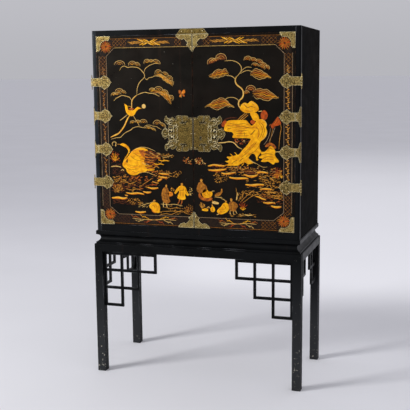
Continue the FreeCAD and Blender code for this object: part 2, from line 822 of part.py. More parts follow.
def barrel_bolt(end, direction):
    """Plate with two guides, and the rod with its knob.

    end is the height of the rod's tip at rest; direction is 1 for a bolt that shoots up.
    """
    def span(near, far):
        return sorted((end - direction * near, end - direction * far))

    plate_front = door_back + keeper_thickness
    guide_back = bolt_y + bolt_radius + bolt_guide_cover
    plate_near = bolt_end_margin
    plate_far = plate_near + bolt_plate_length
    half_plate, half_guide = bolt_plate_width / 2, bolt_guide_width / 2
    low, high = span(plate_near, plate_far)
    pieces = [block(bolt_x - half_plate, bolt_x + half_plate, door_back, plate_front,
                    low, high)]
    near_guide = plate_near + bolt_guide_inset
    far_guide = plate_far - bolt_guide_inset - bolt_guide_height
    for near in (near_guide, far_guide):
        low, high = span(near, near + bolt_guide_height)
        pieces.append(block(bolt_x - half_guide, bolt_x + half_guide, plate_front, guide_back,
                            low, high))
    low, high = span(0, plate_far + bolt_end_margin)
    bracket = joined(pieces).cut(rod(bolt_x, bolt_y, low, high,
                                     bolt_radius + running_clearance))
    low, high = span(0, plate_far)
    knob_height = end - direction * (far_guide - bolt_travel / 2 - bolt_stem_radius * 2)
    stem = hole(bolt_x, knob_height, bolt_y, bolt_y + bolt_stem_reach, bolt_stem_radius)
    ball = Part.makeSphere(bolt_knob_radius, V(bolt_x, bolt_y + bolt_stem_reach, knob_height))
    return bracket, joined([rod(bolt_x, bolt_y, low, high, bolt_radius), stem, ball])


def keeper(z0, z1):
    """A plate that the barrel bolt passes through into the case."""
    half = keeper_width / 2
    back = frame_back + door_stop_depth
    plate = block(bolt_x - half, bolt_x + half, frame_back + stop_gap, back - stop_gap, z0, z1)
    return plate.cut(bolt_hole(z0, z1))


# ---------------------------------------------------------------- doors and fittings
def build_doors_and_fittings():
    nodes = {}
    panel = block(door_inner, door_outer, door_front, door_back, door_bottom, door_top)
    left_panel = to_left(panel)
    nails = [front_nail(x, z, plate_face) for x, z in door_nail_places()]
    nail_set = Part.makeCompound(nails)

    strap_plate_end = door_outer - plate_edge_gap
    straps = [hinge_strap(height) for height in real_hinge_heights]
    shams = [flower_plate(height, strap_plate_end, door_face) for height in sham_hinge_heights]
    edges = [corner_mount(door_top, -1), corner_mount(door_bottom, 1),
             centre_mount(door_top, -1), centre_mount(door_bottom, 1)]
    plate = lock_plate()
    for name, pieces in (("hinge_straps", straps), ("sham_plates", shams),
                         ("edge_mounts", edges)):
        right = group([piece.cut(nail_set) for piece in pieces])
        nodes["right_" + name] = right
        nodes["left_" + name] = to_left(right)
    nodes["left_lock_plate"] = to_left(plate.cut(nail_set))
    nodes["right_lock_plate"] = plate.cut(nail_set).cut(
        keyhole(keyhole_x, plate_face, door_face))
    nodes["right_nails"] = group(nails)
    nodes["left_nails"] = to_left(group(nails))
    panel = panel.cut(nail_set).cut(keyhole(keyhole_x, door_front, door_back))
    nodes["right_door_panel"] = panel
    nodes["left_door_panel"] = left_panel.cut(to_left(nail_set))

    lock = build_lock()
    nodes.update(lock)
    upper_end = stop_bottom - keeper_thickness - bolt_rest_gap
    lower_end = floor_top + keeper_thickness + bolt_rest_gap
    upper_bracket, nodes["upper_bolt"] = barrel_bolt(upper_end, 1)
    lower_bracket, nodes["lower_bolt"] = barrel_bolt(lower_end, -1)
    nodes["bolt_plates"] = group([upper_bracket, lower_bracket])
    nodes["bolt_keepers"] = group([keeper(stop_bottom - keeper_thickness, stop_bottom),
                                   keeper(floor_top, floor_top + keeper_thickness)])
    return nodes


def build_case_fittings(case):
    """Brass on the case; its nails are cut out of the plates and of the wood behind."""
    nodes = {}
    leaf_face = case_side + plate_thickness
    leaf_nail_y = hinge_y + leaf_length - 2 * nail_head_radius
    nails = [front_nail(x, z, case_front - plate_thickness) for x, z in case_nail_places()]
    right_nails = []
    for height in real_hinge_heights:
        for offset in (-strap_height / 3, strap_height / 3):
            right_nails.append(side_nail(leaf_nail_y, height + offset, leaf_face))
    stile_nail_x = opening_side + plate_edge_gap + 2 * nail_head_radius
    for height in sham_hinge_heights:
        for offset in (-strap_height / 3, strap_height / 3):
            right_nails.append(front_nail(stile_nail_x, height + offset,
                                          case_front - plate_thickness))
    nails += right_nails + [to_left(nail) for nail in right_nails]
    nail_set = Part.makeCompound(nails)
    leaves = [hinge_leaf(height) for height in real_hinge_heights]
    pins = [hinge_pin(height) for height in real_hinge_heights]
    corners = [sham_corner_plate(height) for height in sham_hinge_heights]
    for name, pieces in (("hinge_leaves", leaves), ("sham_corner_plates", corners)):
        pieces = pieces + [to_left(piece) for piece in pieces]
        nodes[name] = group([piece.cut(nail_set) for piece in pieces])
    nodes["hinge_pins"] = group(pins + [to_left(pin) for pin in pins])
    nodes["rail_mount"] = rail_mount().cut(nail_set)
    nodes["case_nails"] = group(nails)
    for name in ("left_stile", "right_stile", "top_rail", "left_side", "right_side"):
        case[name] = case[name].cut(nail_set)
    return nodes


def main():
    nodes = build_stand()
    nodes.update(build_mouldings())
    case = build_case()
    nodes.update(build_case_fittings(case))
    nodes.update(case)
    nodes.update(build_doors_and_fittings())
    os.makedirs("parts", exist_ok=True)
    for name, shape in sorted(nodes.items()):
        if not shape.isValid():
            raise ValueError(name + " is not a valid shape")
        print(name, len(shape.Solids), "solid(s)", round(shape.Volume), "mm3")
        shape.exportStep("parts/" + name + ".step")
    print(len(nodes), "nodes")


main()
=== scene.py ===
"""Black-japanned two-door cabinet on a fretted stand: its finishes, engraved mounts and raised gilding.

All lengths in the tables below are millimetres: x to the right, z up from the floor, seen from the front.
"""

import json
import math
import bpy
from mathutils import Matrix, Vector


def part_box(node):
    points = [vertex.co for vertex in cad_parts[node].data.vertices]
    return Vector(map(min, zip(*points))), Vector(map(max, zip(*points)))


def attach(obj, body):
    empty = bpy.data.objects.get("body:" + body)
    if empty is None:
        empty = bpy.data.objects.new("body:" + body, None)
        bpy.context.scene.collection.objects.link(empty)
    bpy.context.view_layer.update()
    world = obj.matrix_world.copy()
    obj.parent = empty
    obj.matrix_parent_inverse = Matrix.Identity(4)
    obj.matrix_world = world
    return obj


bl_info = {
    "name": "Japanned Cabinet on Stand",
    "version": (1, 0, 0),
    "blender": (4, 5, 0),
    "location": "View3D > Sidebar > Cabinet",
    "description": "Finishes, engraving and raised gilt decoration of a two-door cabinet on its stand",
    "category": "Add Mesh",
}

import bpy
from bpy.props import FloatProperty, FloatVectorProperty, IntProperty, PointerProperty
from mathutils import Matrix, Vector

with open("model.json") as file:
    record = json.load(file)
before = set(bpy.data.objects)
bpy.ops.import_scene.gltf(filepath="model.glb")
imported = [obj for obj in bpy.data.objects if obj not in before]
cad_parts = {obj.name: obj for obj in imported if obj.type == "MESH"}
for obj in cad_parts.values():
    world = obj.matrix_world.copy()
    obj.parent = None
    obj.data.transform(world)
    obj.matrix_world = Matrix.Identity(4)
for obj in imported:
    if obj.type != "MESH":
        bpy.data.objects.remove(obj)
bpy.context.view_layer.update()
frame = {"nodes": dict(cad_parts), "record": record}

MM = 0.001
DOOR_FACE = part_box("left_door_panel")[0].y / MM
MOUNT_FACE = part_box("left_sham_plates")[0].y / MM


def linear(code):
    """The linear colour of an sRGB hex value."""
    parts = (int(code[i:i + 2], 16) / 255 for i in (0, 2, 4))
    return tuple(p / 12.92 if p <= 0.04045 else ((p + 0.055) / 1.055) ** 2.4 for p in parts)


def colour_setting(name, description, code):
    return FloatVectorProperty(name=name, description=description, subtype="COLOR", size=3,
                               min=0.0, max=1.0, default=linear(code))


def length_setting(name, description, millimetres, most=50.0):
    return FloatProperty(name=name, description=description, default=millimetres * MM, min=0.0,
                         max=most * MM, unit="LENGTH", subtype="DISTANCE", precision=5)


def power_setting(name, description, watts):
    return FloatProperty(name=name, description=description, default=watts, min=0.0, subtype="POWER",
                         unit="POWER")


class CabinetColours(bpy.types.PropertyGroup):
    lacquer: colour_setting("Black lacquer", "Polished black japan of the doors and case front", "050505")
    lacquer_warm: colour_setting("Aged lacquer", "Brown cast that the black takes with age", "0F0A08")
    # Painted reflection: this blue-grey on the left stile stands in for the light that it faces.
    bloom: colour_setting("Bloom", "Blue-grey bloom on the stile that faces the light", "12171C")
    stand_black: colour_setting("Stand black", "Black of the legs where they meet the rails", "0B0C0D")
    stand_foot: colour_setting("Stand feet", "Duller, greyer black of the legs near the floor", "2B2C2E")
    ground: colour_setting("Ground", "Red-brown ground that shows where an edge is rubbed", "5A3422")
    chip: colour_setting("Chips", "Bare wood and gesso in chips and scuffs", "CFC8BA")
    inside: colour_setting("Inside lacquer", "Red-brown lacquer of the shelves and floor", "4A1B12")
    wood: colour_setting("Bare wood", "Unpainted back boards and battens", "6A4526")
    brass: colour_setting("Brass", "Engraved gilt-brass mounts", "A69056")
    brass_dull: colour_setting("Dull brass", "Browner brass of the lock plate, less rubbed", "806C38")
    # Partly painted highlight: the rubbed rims are made paler still, where light would catch them.
    brass_rim: colour_setting("Brass rims", "Rubbed, bright rims of the mounts", "F0E4B8")
    patina: colour_setting("Patina", "Dark tarnish that fills the engraving", "151008")
    iron: colour_setting("Iron", "Bolts and lock parts", "4A4744")
    rust: colour_setting("Rust", "Freckles on the iron", "4A2C1C")
    gold: colour_setting("Gold", "Bright gilding of the raised work", "F0B016")
    gold_deep: colour_setting("Deep gold", "Orange tone in the hollows of the gilding", "C67A0A")
    foliage: colour_setting("Foliage gold", "Thin ochre gold of leaves and shrubs", "C28A34")
    vermilion: colour_setting("Vermilion", "Orange-red lacquer of flowers and robes", "BC4C12")
    ochre: colour_setting("Ochre", "Brown-gold lacquer of some of the robes", "B0701E")
    amber: colour_setting("Amber", "Orange shade on the raised gilding", "D67F18")
    orange: colour_setting("Orange", "Orange-brown lacquer of corner stars, robes and shading", "B9621C")
    brown: colour_setting("Brown", "Red-brown of bark, shading and old outlines", "5A2A10")
    umber: colour_setting("Umber", "Darkest brown, under the foliage", "26180C")
    cream: colour_setting("Pale gold", "Pale gold of branches, sprays and highlights", "D8B062")
    line: colour_setting("Ruled line", "Dulled pale gold of the lines that frame the doors", "A88C6A")
    # Painted highlight: this grey is laid along the sharp edges of the legs, rails and mouldings.
    dust: colour_setting("Dust", "Grey of edges and hollows that a duster has worn and filled", "6E7074")


class CabinetRelief(bpy.types.PropertyGroup):
    proud: length_setting("Relief", "How far the gilded masses stand off the lacquer", 0.9, 2.0)
    line_proud: length_setting("Line relief", "How far a painted line stands off the lacquer", 0.45, 2.0)
    border_line: length_setting("Border line", "Width of the pale gold lines that frame each door", 1.7)
    trellis_pitch: length_setting(
        "Trellis pitch", "Spacing of the diamond trellis, coarser than the real one so that it shows", 17.0)
    trellis_bar: length_setting("Trellis line", "Width of one trellis line", 0.7)
    leaf_length: length_setting("Leaf length", "Length of one leaf in the border sprays", 22.0, 80.0)
    fleck_length: length_setting("Fleck", "Length of one fleck in the shrubs and reeds", 5.0)
    engraved_line: length_setting(
        "Engraved line", "Width of the cuts in the brass, coarser than the real ones so that they show", 3.0)
    seed: IntProperty(name="Seed", description="Fixes every scattered fleck", default=7, min=0)


class CabinetStudio(bpy.types.PropertyGroup):
    floor: colour_setting("Floor", "Pale paper floor", "F4F4F8")
    surround: colour_setting("Surround", "Pale studio around the cabinet", "BFBFC5")
    key: power_setting("Key light", "Soft light from the front left", 190.0)
    fill: power_setting("Fill light", "Weak light from above the camera", 22.0)


# ---------------------------------------------------------------- nodes and materials

NOISE, RANGE, MIX = "ShaderNodeTexNoise", "ShaderNodeMapRange", "ShaderNodeMix"
MATH, VECTOR = "ShaderNodeMath", "ShaderNodeVectorMath"


def feed(tree, node, inputs):
    """Set a node's inputs by name or number, from values, sockets, or nodes by their first live output."""
    for key, value in inputs.items():
        socket = node.inputs[key]
        if isinstance(value, bpy.types.Node):
            value = next(output for output in value.outputs if output.enabled)
        if isinstance(value, bpy.types.NodeSocket):
            tree.links.new(value, socket)
        else:
            socket.default_value = (*value, 1.0) if socket.type == "RGBA" else value
    return node


def add(tree, kind, inputs=None, **options):
    """Add a node, with its own options and its inputs."""
    made = tree.nodes.new(kind)
    for option, value in options.items():
        setattr(made, option, value)
    return feed(tree, made, inputs or {})


def per(millimetres):
    """Texture scale that repeats once in that many millimetres."""
    return 1.0 / (millimetres * MM)


def put(context, name, data):
    """A new object in the scene."""
    made = bpy.data.objects.new(name, data)
    context.scene.collection.objects.link(made)
    return made


def share_of(colour, share):
    """The colour darkened to a share of its light."""
    return tuple(share * part for part in colour)


def start_material(name, constants):
    """A new material with its tree, its shader with the constants set, and its object coordinates."""
    material = bpy.data.materials.new(name)
    material.use_nodes = True
    tree = material.node_tree
    shader = feed(tree, tree.nodes["Principled BSDF"], constants)
    return material, tree, shader, add(tree, "ShaderNodeTexCoord").outputs["Object"]


def edge_band(tree, radius):
    """Mask of the surface within that distance of a sharp edge."""
    soft = add(tree, "ShaderNodeBevel", {"Radius": radius * MM}, samples=6)
    true = add(tree, "ShaderNodeNewGeometry").outputs["True Normal"]
    turn = add(tree, VECTOR, {0: soft, 1: true}, operation="DOT_PRODUCT")
    return add(tree, RANGE, {"Value": turn, "From Min": 0.985, "From Max": 0.86})


def rubbed_edges(tree, place, radius, grain):
    """Mask of the sharp edges, broken up by patches of that grain."""
    patch = add(tree, NOISE, {"Vector": place, "Scale": per(grain), "Detail": 5.0, "Roughness": 0.65})
    broken = add(tree, RANGE, {"Value": patch, "From Min": 0.5, "From Max": 0.62})
    return add(tree, MATH, {0: edge_band(tree, radius), 1: broken}, operation="MULTIPLY")


def japan(name, dark, warm, colours, roughness, specular, glow=(1.0, 0.86, 0.66), foot=None, edge=None):
    """Japan lacquer, brushed in many coats and rubbed to a polish.

    The eye gets a deep near-black with a faint brown cast in clouds, fine upright shrinkage lines over the
    joints of the boards, duller patches from handling, edges rubbed through to the red-brown ground, and
    pale chips that grow more common near the floor. Where an edge colour is given, the edges show it
    instead of the ground, as a painted highlight; where a foot colour is given, the black turns greyer
    towards the floor.
    """
    lustre = {"Specular IOR Level": specular, "Specular Tint": glow}
    material, tree, shader, place = start_material(name, lustre)
    cloud = add(tree, NOISE, {"Vector": place, "Scale": per(170), "Detail": 5.0})
    aged = add(tree, RANGE, {"Value": cloud, "From Min": 0.42, "From Max": 0.72})
    body = add(tree, MIX, {0: aged, 6: dark, 7: warm}, data_type="RGBA")
    height = add(tree, "ShaderNodeSeparateXYZ", {"Vector": place}).outputs["Z"]
    if foot:
        # The legs turn greyer, more and more towards the floor.
        greyed = add(tree, RANGE, {"Value": height, "From Min": 0.60, "From Max": 0.15})
        body = add(tree, MIX, {0: greyed, 6: body, 7: foot}, data_type="RGBA")
    # Board joints and shrinkage cracks run upright, a few centimetres apart.
    upright = add(tree, "ShaderNodeMapping", {"Vector": place, "Scale": (1.0, 1.0, 0.02)})
    boards = add(tree, NOISE, {"Vector": upright, "Scale": per(22), "Detail": 3.0})
    crack = add(tree, RANGE, {"Value": boards, "From Min": 0.655, "From Max": 0.70})
    faint = add(tree, MATH, {0: crack, 1: 0.03}, operation="MULTIPLY")
    lined = add(tree, MIX, {0: faint, 6: body, 7: colours.ground}, data_type="RGBA")
    # Edges are rubbed through to the ground; where an edge colour is given, they are painted that grey
    # instead, over broader patches, as a highlight.
    rubbed = rubbed_edges(tree, place, 3.0, 90 if edge else 16)
    worn = add(tree, MIX, {0: rubbed, 6: lined, 7: edge or colours.ground}, data_type="RGBA")
    # Small pale chips, commonest near the floor, where feet and brooms knock the legs.
    reach, floor_level, high_level = (0.5, 0.63, 0.695) if foot else (0.16, 0.60, 0.735)
    level = add(tree, RANGE, {"Value": height, "From Min": 0.0, "From Max": reach,
                              "To Min": floor_level, "To Max": high_level})
    specks = add(tree, NOISE, {"Vector": place, "Scale": per(11), "Detail": 4.0, "Roughness": 0.7})
    over = add(tree, MATH, {0: specks, 1: level}, operation="SUBTRACT")
    scuff = add(tree, RANGE, {"Value": over, "From Min": 0.0, "From Max": 0.03})
    chipped = add(tree, MIX, {0: scuff, 6: worn, 7: colours.chip}, data_type="RGBA")
    haze = add(tree, NOISE, {"Vector": place, "Scale": per(60), "Detail": 6.0, "Roughness": 0.6})
    polish = add(tree, RANGE, {"Value": haze, "From Min": 0.3, "From Max": 0.75,
                               "To Min": roughness - 0.05, "To Max": roughness + 0.13})
    dull = add(tree, MATH, {0: scuff, 1: 0.5, 2: polish}, operation="MULTIPLY_ADD")
    # Brushed coats leave a faint ripple; real ripple is about 1 mm, drawn at 4 mm so that it shows.
    ripple = add(tree, NOISE, {"Vector": place, "Scale": per(4), "Detail": 2.0})
    depth = add(tree, MATH, {0: ripple, 1: crack}, operation="SUBTRACT")
    bump = add(tree, "ShaderNodeBump", {"Height": depth, "Strength": 0.12, "Distance": 0.0006})
    feed(tree, shader, {"Base Color": chipped, "Roughness": dull, "Normal": bump})
    return material


def sawn_wood(colours):
    """Softwood boards, planed once and left bare: long upright streaks of brown grain, dry and dull."""
    material, tree, shader, place = start_material("softwood_planed_and_left_bare",
                                                   {"Specular IOR Level": 0.3})
    streaks = add(tree, "ShaderNodeMapping", {"Vector": place, "Scale": (1.0, 1.0, 0.05)})
    grain = add(tree, NOISE, {"Vector": streaks, "Scale": per(7), "Detail": 7.0, "Distortion": 0.6})
    bands = add(tree, RANGE, {"Value": grain, "From Min": 0.40, "From Max": 0.62})
    tone = add(tree, MIX, {0: bands, 6: share_of(colours.wood, 0.32), 7: colours.wood}, data_type="RGBA")
    stain = add(tree, NOISE, {"Vector": place, "Scale": per(140), "Detail": 4.0})
    soiled = add(tree, MIX, {0: stain, 6: tone, 7: share_of(colours.wood, 0.55)}, data_type="RGBA")
    dry = add(tree, RANGE, {"Value": grain, "To Min": 0.62, "To Max": 0.85})
    bump = add(tree, "ShaderNodeBump", {"Height": grain, "Strength": 0.3, "Distance": 0.0006})
    feed(tree, shader, {"Base Color": soiled, "Roughness": dry, "Normal": bump})
    return material


def engraved_brass(name, metal, colours, depth, rubbing_and_highlight):
    """Sheet brass, fire-gilt once, engraved by hand with curling leaves.

    The eye gets a soft green-yellow metal hatched by fine dark cuts that curl with each leaf, cloudy brown
    tarnish between them, and edges that are rubbed clean and painted paler still as a highlight.
    """
    material, tree, shader, place = start_material(name, {"Metallic": 1.0})
    # The cuts run side by side about 2 mm apart; the real ones are finer and would not show.
    curl = add(tree, NOISE, {"Vector": place, "Scale": per(34), "Detail": 0.6, "Distortion": 0.5})
    rows_of_cuts = add(tree, MATH, {0: curl, 1: 22.0}, operation="MULTIPLY")
    fold = add(tree, MATH, {0: rows_of_cuts, 1: 0.5}, operation="PINGPONG")
    hatch = add(tree, RANGE, {"Value": fold, "From Min": 0.16, "From Max": 0.06})
    drift = add(tree, NOISE, {"Vector": place, "Scale": per(22), "Detail": 0.4}).outputs["Color"]
    swirl = add(tree, VECTOR, {0: drift, 1: (0.07, 0.07, 0.07), 2: place}, operation="MULTIPLY_ADD")
    # Leaves are about 16 mm across, each with a deeper cut round it, and about a third are left plain.
    leaf = {"Vector": swirl, "Scale": per(16)}
    cells = add(tree, "ShaderNodeTexVoronoi", leaf, feature="DISTANCE_TO_EDGE")
    leaf_edge = add(tree, RANGE, {"Value": cells, "From Min": 0.06, "From Max": 0.03})
    which = add(tree, "ShaderNodeTexVoronoi", leaf).outputs["Color"]
    chance = add(tree, "ShaderNodeSeparateColor", {0: which})
    cut_leaf = add(tree, MATH, {0: chance, 1: 0.33}, operation="GREATER_THAN")
    hatched = add(tree, MATH, {0: hatch, 1: cut_leaf}, operation="MULTIPLY")
    lines = add(tree, MATH, {0: hatched, 1: leaf_edge}, operation="MAXIMUM")
    cloud = add(tree, NOISE, {"Vector": place, "Scale": per(26), "Detail": 5.0, "Roughness": 0.6})
    tarnish = add(tree, RANGE, {"Value": cloud, "From Min": 0.40, "From Max": 0.72, "To Max": 0.75})
    brown = tuple(share * part for share, part in zip((0.62, 0.50, 0.42), metal))
    clouded = add(tree, MIX, {0: tarnish, 6: metal, 7: brown}, data_type="RGBA")
    shade = add(tree, MATH, {0: lines, 1: depth}, operation="MULTIPLY")
    cut_in = add(tree, MIX, {0: shade, 6: clouded, 7: colours.patina}, data_type="RGBA")
    # Rubbed edges, made paler still as a painted highlight.
    rim = add(tree, MATH, {0: edge_band(tree, 2.4), 1: rubbing_and_highlight}, operation="MULTIPLY")
    bright = add(tree, MIX, {0: rim, 6: cut_in, 7: colours.brass_rim}, data_type="RGBA")
    rough = add(tree, MATH, {0: lines, 1: 0.22, 2: 0.36}, operation="MULTIPLY_ADD")
    rougher = add(tree, MATH, {0: tarnish, 1: 0.25, 2: rough}, operation="MULTIPLY_ADD")
    bump = add(tree, "ShaderNodeBump", {"Height": lines, "Strength": 0.6, "Distance": 0.0006}, invert=True)
    feed(tree, shader, {"Base Color": bright, "Roughness": rougher, "Normal": bump})
    return material


def forged_iron(colours):
    """Wrought iron, filed and left dark: grey-brown metal with file scratches and rust freckles."""
    material, tree, shader, place = start_material("iron_filed_and_darkened", {"Metallic": 0.9})
    rust = add(tree, NOISE, {"Vector": place, "Scale": per(12), "Detail": 6.0, "Roughness": 0.7})
    freckle = add(tree, RANGE, {"Value": rust, "From Min": 0.52, "From Max": 0.66})
    tone = add(tree, MIX, {0: freckle, 6: colours.iron, 7: colours.rust}, data_type="RGBA")
    along = add(tree, "ShaderNodeMapping", {"Vector": place, "Scale": (1.0, 1.0, 12.0)})
    filed = add(tree, NOISE, {"Vector": along, "Scale": per(5), "Detail": 3.0})
    worn = add(tree, RANGE, {"Value": filed, "To Min": 0.38, "To Max": 0.68})
    bump = add(tree, "ShaderNodeBump", {"Height": filed, "Strength": 0.2, "Distance": 0.0004})
    feed(tree, shader, {"Base Color": tone, "Roughness": worn, "Normal": bump})
    return material


def painted(name, colour, deep, under, patch, wear, metallic, roughness):
    """Gold or colour laid on raised gesso with a brush and varnished.

    The eye gets a warm colour that pools darker in clouds of the patch size, fine brush grain across it, and
    rubbed places where the coat under it shows.
    """
    material, tree, shader, place = start_material(name, {"Metallic": metallic, "Specular IOR Level": 0.1})
    pool = add(tree, NOISE, {"Vector": place, "Scale": per(patch), "Detail": 5.0, "Roughness": 0.62})
    depth = add(tree, RANGE, {"Value": pool, "From Min": 0.36, "From Max": 0.70})
    tone = add(tree, MIX, {0: depth, 6: colour, 7: deep}, data_type="RGBA")
    rub = add(tree, NOISE, {"Vector": place, "Scale": per(6.5), "Detail": 6.0, "Roughness": 0.72, "W": 3.0},
              noise_dimensions="4D")
    bare = add(tree, RANGE, {"Value": rub, "From Min": 0.75 - wear, "From Max": 0.84 - wear})
    aged = add(tree, MIX, {0: bare, 6: tone, 7: under}, data_type="RGBA")
    gloss = add(tree, RANGE, {"Value": rub, "To Min": roughness - 0.08, "To Max": roughness + 0.14})
    # Brush grain is a few tenths of a millimetre; drawn at 2 mm so that it shows.
    brush = add(tree, NOISE, {"Vector": place, "Scale": per(2), "Detail": 3.0})
    bump = add(tree, "ShaderNodeBump", {"Height": brush, "Strength": 0.35, "Distance": 0.0004})
    feed(tree, shader, {"Base Color": aged, "Roughness": gloss, "Normal": bump})
    return material


def studio_paper(colour):
    """Wide roll of matt studio paper: pale, faintly uneven, with a lighter pool behind the cabinet."""
    material, tree, shader, place = start_material("paper_rolled_matt",
                                                   {"Roughness": 0.95, "Specular IOR Level": 0.1})
    uneven = add(tree, NOISE, {"Vector": place, "Scale": per(900), "Detail": 2.0})
    tone = add(tree, MIX, {0: uneven, 6: colour, 7: share_of(colour, 0.93)}, data_type="RGBA")
    # The paper is greyer under the key light, where it would otherwise burn out.
    apart = add(tree, VECTOR, {0: place, 1: (-3.4, -2.9, 0.0)}, operation="DISTANCE")
    grey = add(tree, RANGE, {"Value": apart, "From Min": 5.0, "From Max": 0.8, "To Max": 0.6})
    toned = add(tree, MIX, {0: grey, 6: tone, 7: share_of(colour, 0.25)}, data_type="RGBA")
    # The pool shows to the camera and in reflections, and lights nothing. It starts a metre behind the
    # cabinet, to its right.
    soft = {"interpolation_type": "SMOOTHSTEP"}
    along = add(tree, "ShaderNodeSeparateXYZ", {"Vector": place}).outputs
    start = add(tree, RANGE, {"Value": along["Y"], "From Min": 0.9, "From Max": 1.9, "To Max": 0.22}, **soft)
    end = add(tree, RANGE, {"Value": along["Y"], "From Min": 14.0, "From Max": 5.0}, **soft)
    across = add(tree, MATH, {0: along["Y"], 1: 0.42, 2: along["X"]}, operation="MULTIPLY_ADD")
    side = add(tree, RANGE, {"Value": across, "From Min": -0.9, "From Max": 0.3}, **soft)
    pool = add(tree, MATH, {0: start, 1: end}, operation="MULTIPLY")
    kept = add(tree, MATH, {0: pool, 1: side}, operation="MULTIPLY")
    ray = add(tree, "ShaderNodeLightPath").outputs
    mirrored = add(tree, MATH, {0: ray["Is Glossy Ray"], 1: ray["Is Transmission Ray"]}, operation="ADD")
    seen = add(tree, MATH, {0: ray["Is Camera Ray"], 1: mirrored}, operation="ADD")
    shown = add(tree, MATH, {0: kept, 1: seen}, operation="MULTIPLY")
    feed(tree, shader, {"Base Color": toned, "Emission Color": colour, "Emission Strength": shown})
    return material


# A cool sheen for the faces that mirror the studio, in place of the warm one of the doors.
COOL, COLD = (0.95, 0.98, 1.0), (0.85, 0.93, 1.0)

FINISHES = {
    "black": lambda c: japan("japan_black_rubbed_and_polished", c.lacquer, c.lacquer_warm, c, 0.32, 0.12),
    "side": lambda c: japan("japan_black_brushed_and_dulled", c.lacquer, c.lacquer_warm, c, 0.75, 0.03),
    # Painted reflection: the left stile gets a blue-grey black for the light that it faces.
    "stile_with_painted_reflection": lambda c: japan("japan_black_clouded_by_bloom", c.bloom, c.lacquer, c, 0.34, 0.16, COLD),
    # The legs turn greyer towards the floor, and their sharp edges are painted grey as a highlight.
    "stand": lambda c: japan("japan_black_worn_by_handling", c.stand_black, c.stand_black, c, 0.5, 0.045,
                             COOL, foot=c.stand_foot, edge=c.dust),
    # The mouldings' sharp edges are painted grey as a highlight.
    "moulding": lambda c: japan("japan_black_dusted_on_the_mouldings", c.stand_black, c.lacquer, c, 0.34,
                                0.07, COOL, edge=c.dust),
    "inside": lambda c: japan("japan_red_brown_brushed", c.inside, share_of(c.inside, 0.5), c, 0.42, 0.3),
    "wood": sawn_wood,
    "brass": lambda c: engraved_brass("brass_engraved_and_aged", c.brass, c, 0.8, 1.0),
    "lock": lambda c: engraved_brass("brass_engraved_and_tarnished", c.brass_dull, c, 0.85, 0.75),
    "iron": forged_iron,
}
# Brushed finishes: name, colour, the deeper tone with its share of light, the coat under them, then the size
# of a patch in millimetres, wear, metallic and roughness.
PAINTS = {
    "cut": ("tarnish_in_engraved_lines", "patina", ("patina", 0.5), "brass", 9, 0.0, 0.6, 0.6),
    # The ridges beside the cuts and the rosette bosses are painted pale as highlights.
    "ridge": ("brass_burnished_on_the_ridges", "brass_rim", ("brass", 1), "brass_dull", 8, 0.05, 0.85, 0.34),
    "gold": ("gold_leaf_on_raised_gesso_varnished", "gold", ("gold_deep", 1), "brown", 17, 0.05, 0.3, 0.42),
    "amber": ("gold_leaf_shaded_with_amber_varnish", "amber", ("orange", 1), "brown", 14, 0.06, 0.2, 0.45),
    "robe": ("ochre_lacquer_brushed", "ochre", ("brown", 1), "umber", 9, 0.10, 0.1, 0.5),
    "foliage": ("bronze_powder_brushed_on_lacquer", "foliage", ("ochre", 1), "umber", 12, 0.12, 0.2, 0.5),
    "orange": ("orange_lacquer_brushed", "orange", ("brown", 1), "lacquer", 10, 0.11, 0.1, 0.45),
    "red": ("vermilion_lacquer_brushed", "vermilion", ("brown", 1), "lacquer", 12, 0.10, 0.0, 0.45),
    "umber": ("umber_lacquer_brushed", "umber", ("lacquer", 1), "lacquer", 9, 0.1, 0.0, 0.5),
    "brown": ("red_brown_lacquer_brushed", "brown", ("brown", 0.4), "lacquer", 12, 0.16, 0.0, 0.5),
    "cream": ("pale_gold_powder_brushed", "cream", ("cream", 0.7), "brown", 9, 0.10, 0.15, 0.5),
    "line": ("pale_gold_line_ruled_and_dulled", "line", ("line", 0.6), "brown", 9, 0.10, 0.1, 0.5),
}


def finish(context, key):
    """The material of that finish, made the first time it is asked for."""
    made = context.scene.get("cabinet_" + key)
    if made is None:
        colours = context.scene.cabinet_colours
        if key in PAINTS:
            name, colour, (deep, share), under, *numbers = PAINTS[key]
            deep = share_of(getattr(colours, deep), share)
            made = painted(name, getattr(colours, colour), deep, getattr(colours, under), *numbers)
        else:
            made = FINISHES[key](colours)
        context.scene["cabinet_" + key] = made
    return made


# ---------------------------------------------------------------- drawing in relief

def rows(text):
    """The rows of a table, each as a list of words; a line that starts with a space carries on its row."""
    return [row.split() for row in text.strip().replace("\n ", " ").splitlines()]


def spots(words):
    """Tuples of numbers from words such as 12,34."""
    return [tuple(float(number) for number in word.split(",")) for word in words]


def between(a, b, share):
    """The place at that share of the way from a to b."""
    return tuple(p + (q - p) * share for p, q in zip(a, b))


def smooth(points, closed=False, step=4.0):
    """A curve through the points, cut every few millimetres."""
    count, out = len(points), []
    for i in range(count if closed else count - 1):
        places = [(i + k) % count if closed else min(max(i + k, 0), count - 1) for k in (-1, 0, 1, 2)]
        around = [points[place] for place in places]
        cuts = max(1, round(math.dist(around[1], around[2]) / step))
        for t in (j / cuts for j in range(cuts)):
            out.append(tuple(0.5 * (2 * q + (r - p) * t + (2 * p - 5 * q + 4 * r - s) * t * t
                                    + (3 * q - p - 3 * r + s) * t ** 3) for p, q, r, s in zip(*around)))
    return out if closed else out + [points[-1]]


def spaced(points, count):
    """The same curve with that many points, evenly spaced."""
    reach = [0.0]
    for a, b in zip(points, points[1:]):
        reach.append(reach[-1] + math.dist(a, b))
    out, k = [], 0
    for i in range(count):
        goal = reach[-1] * i / (count - 1)
        while k < len(points) - 2 and reach[k + 1] < goal:
            k += 1
        out.append(between(points[k], points[k + 1], (goal - reach[k]) / max(reach[k + 1] - reach[k], 1e-9)))
    return out


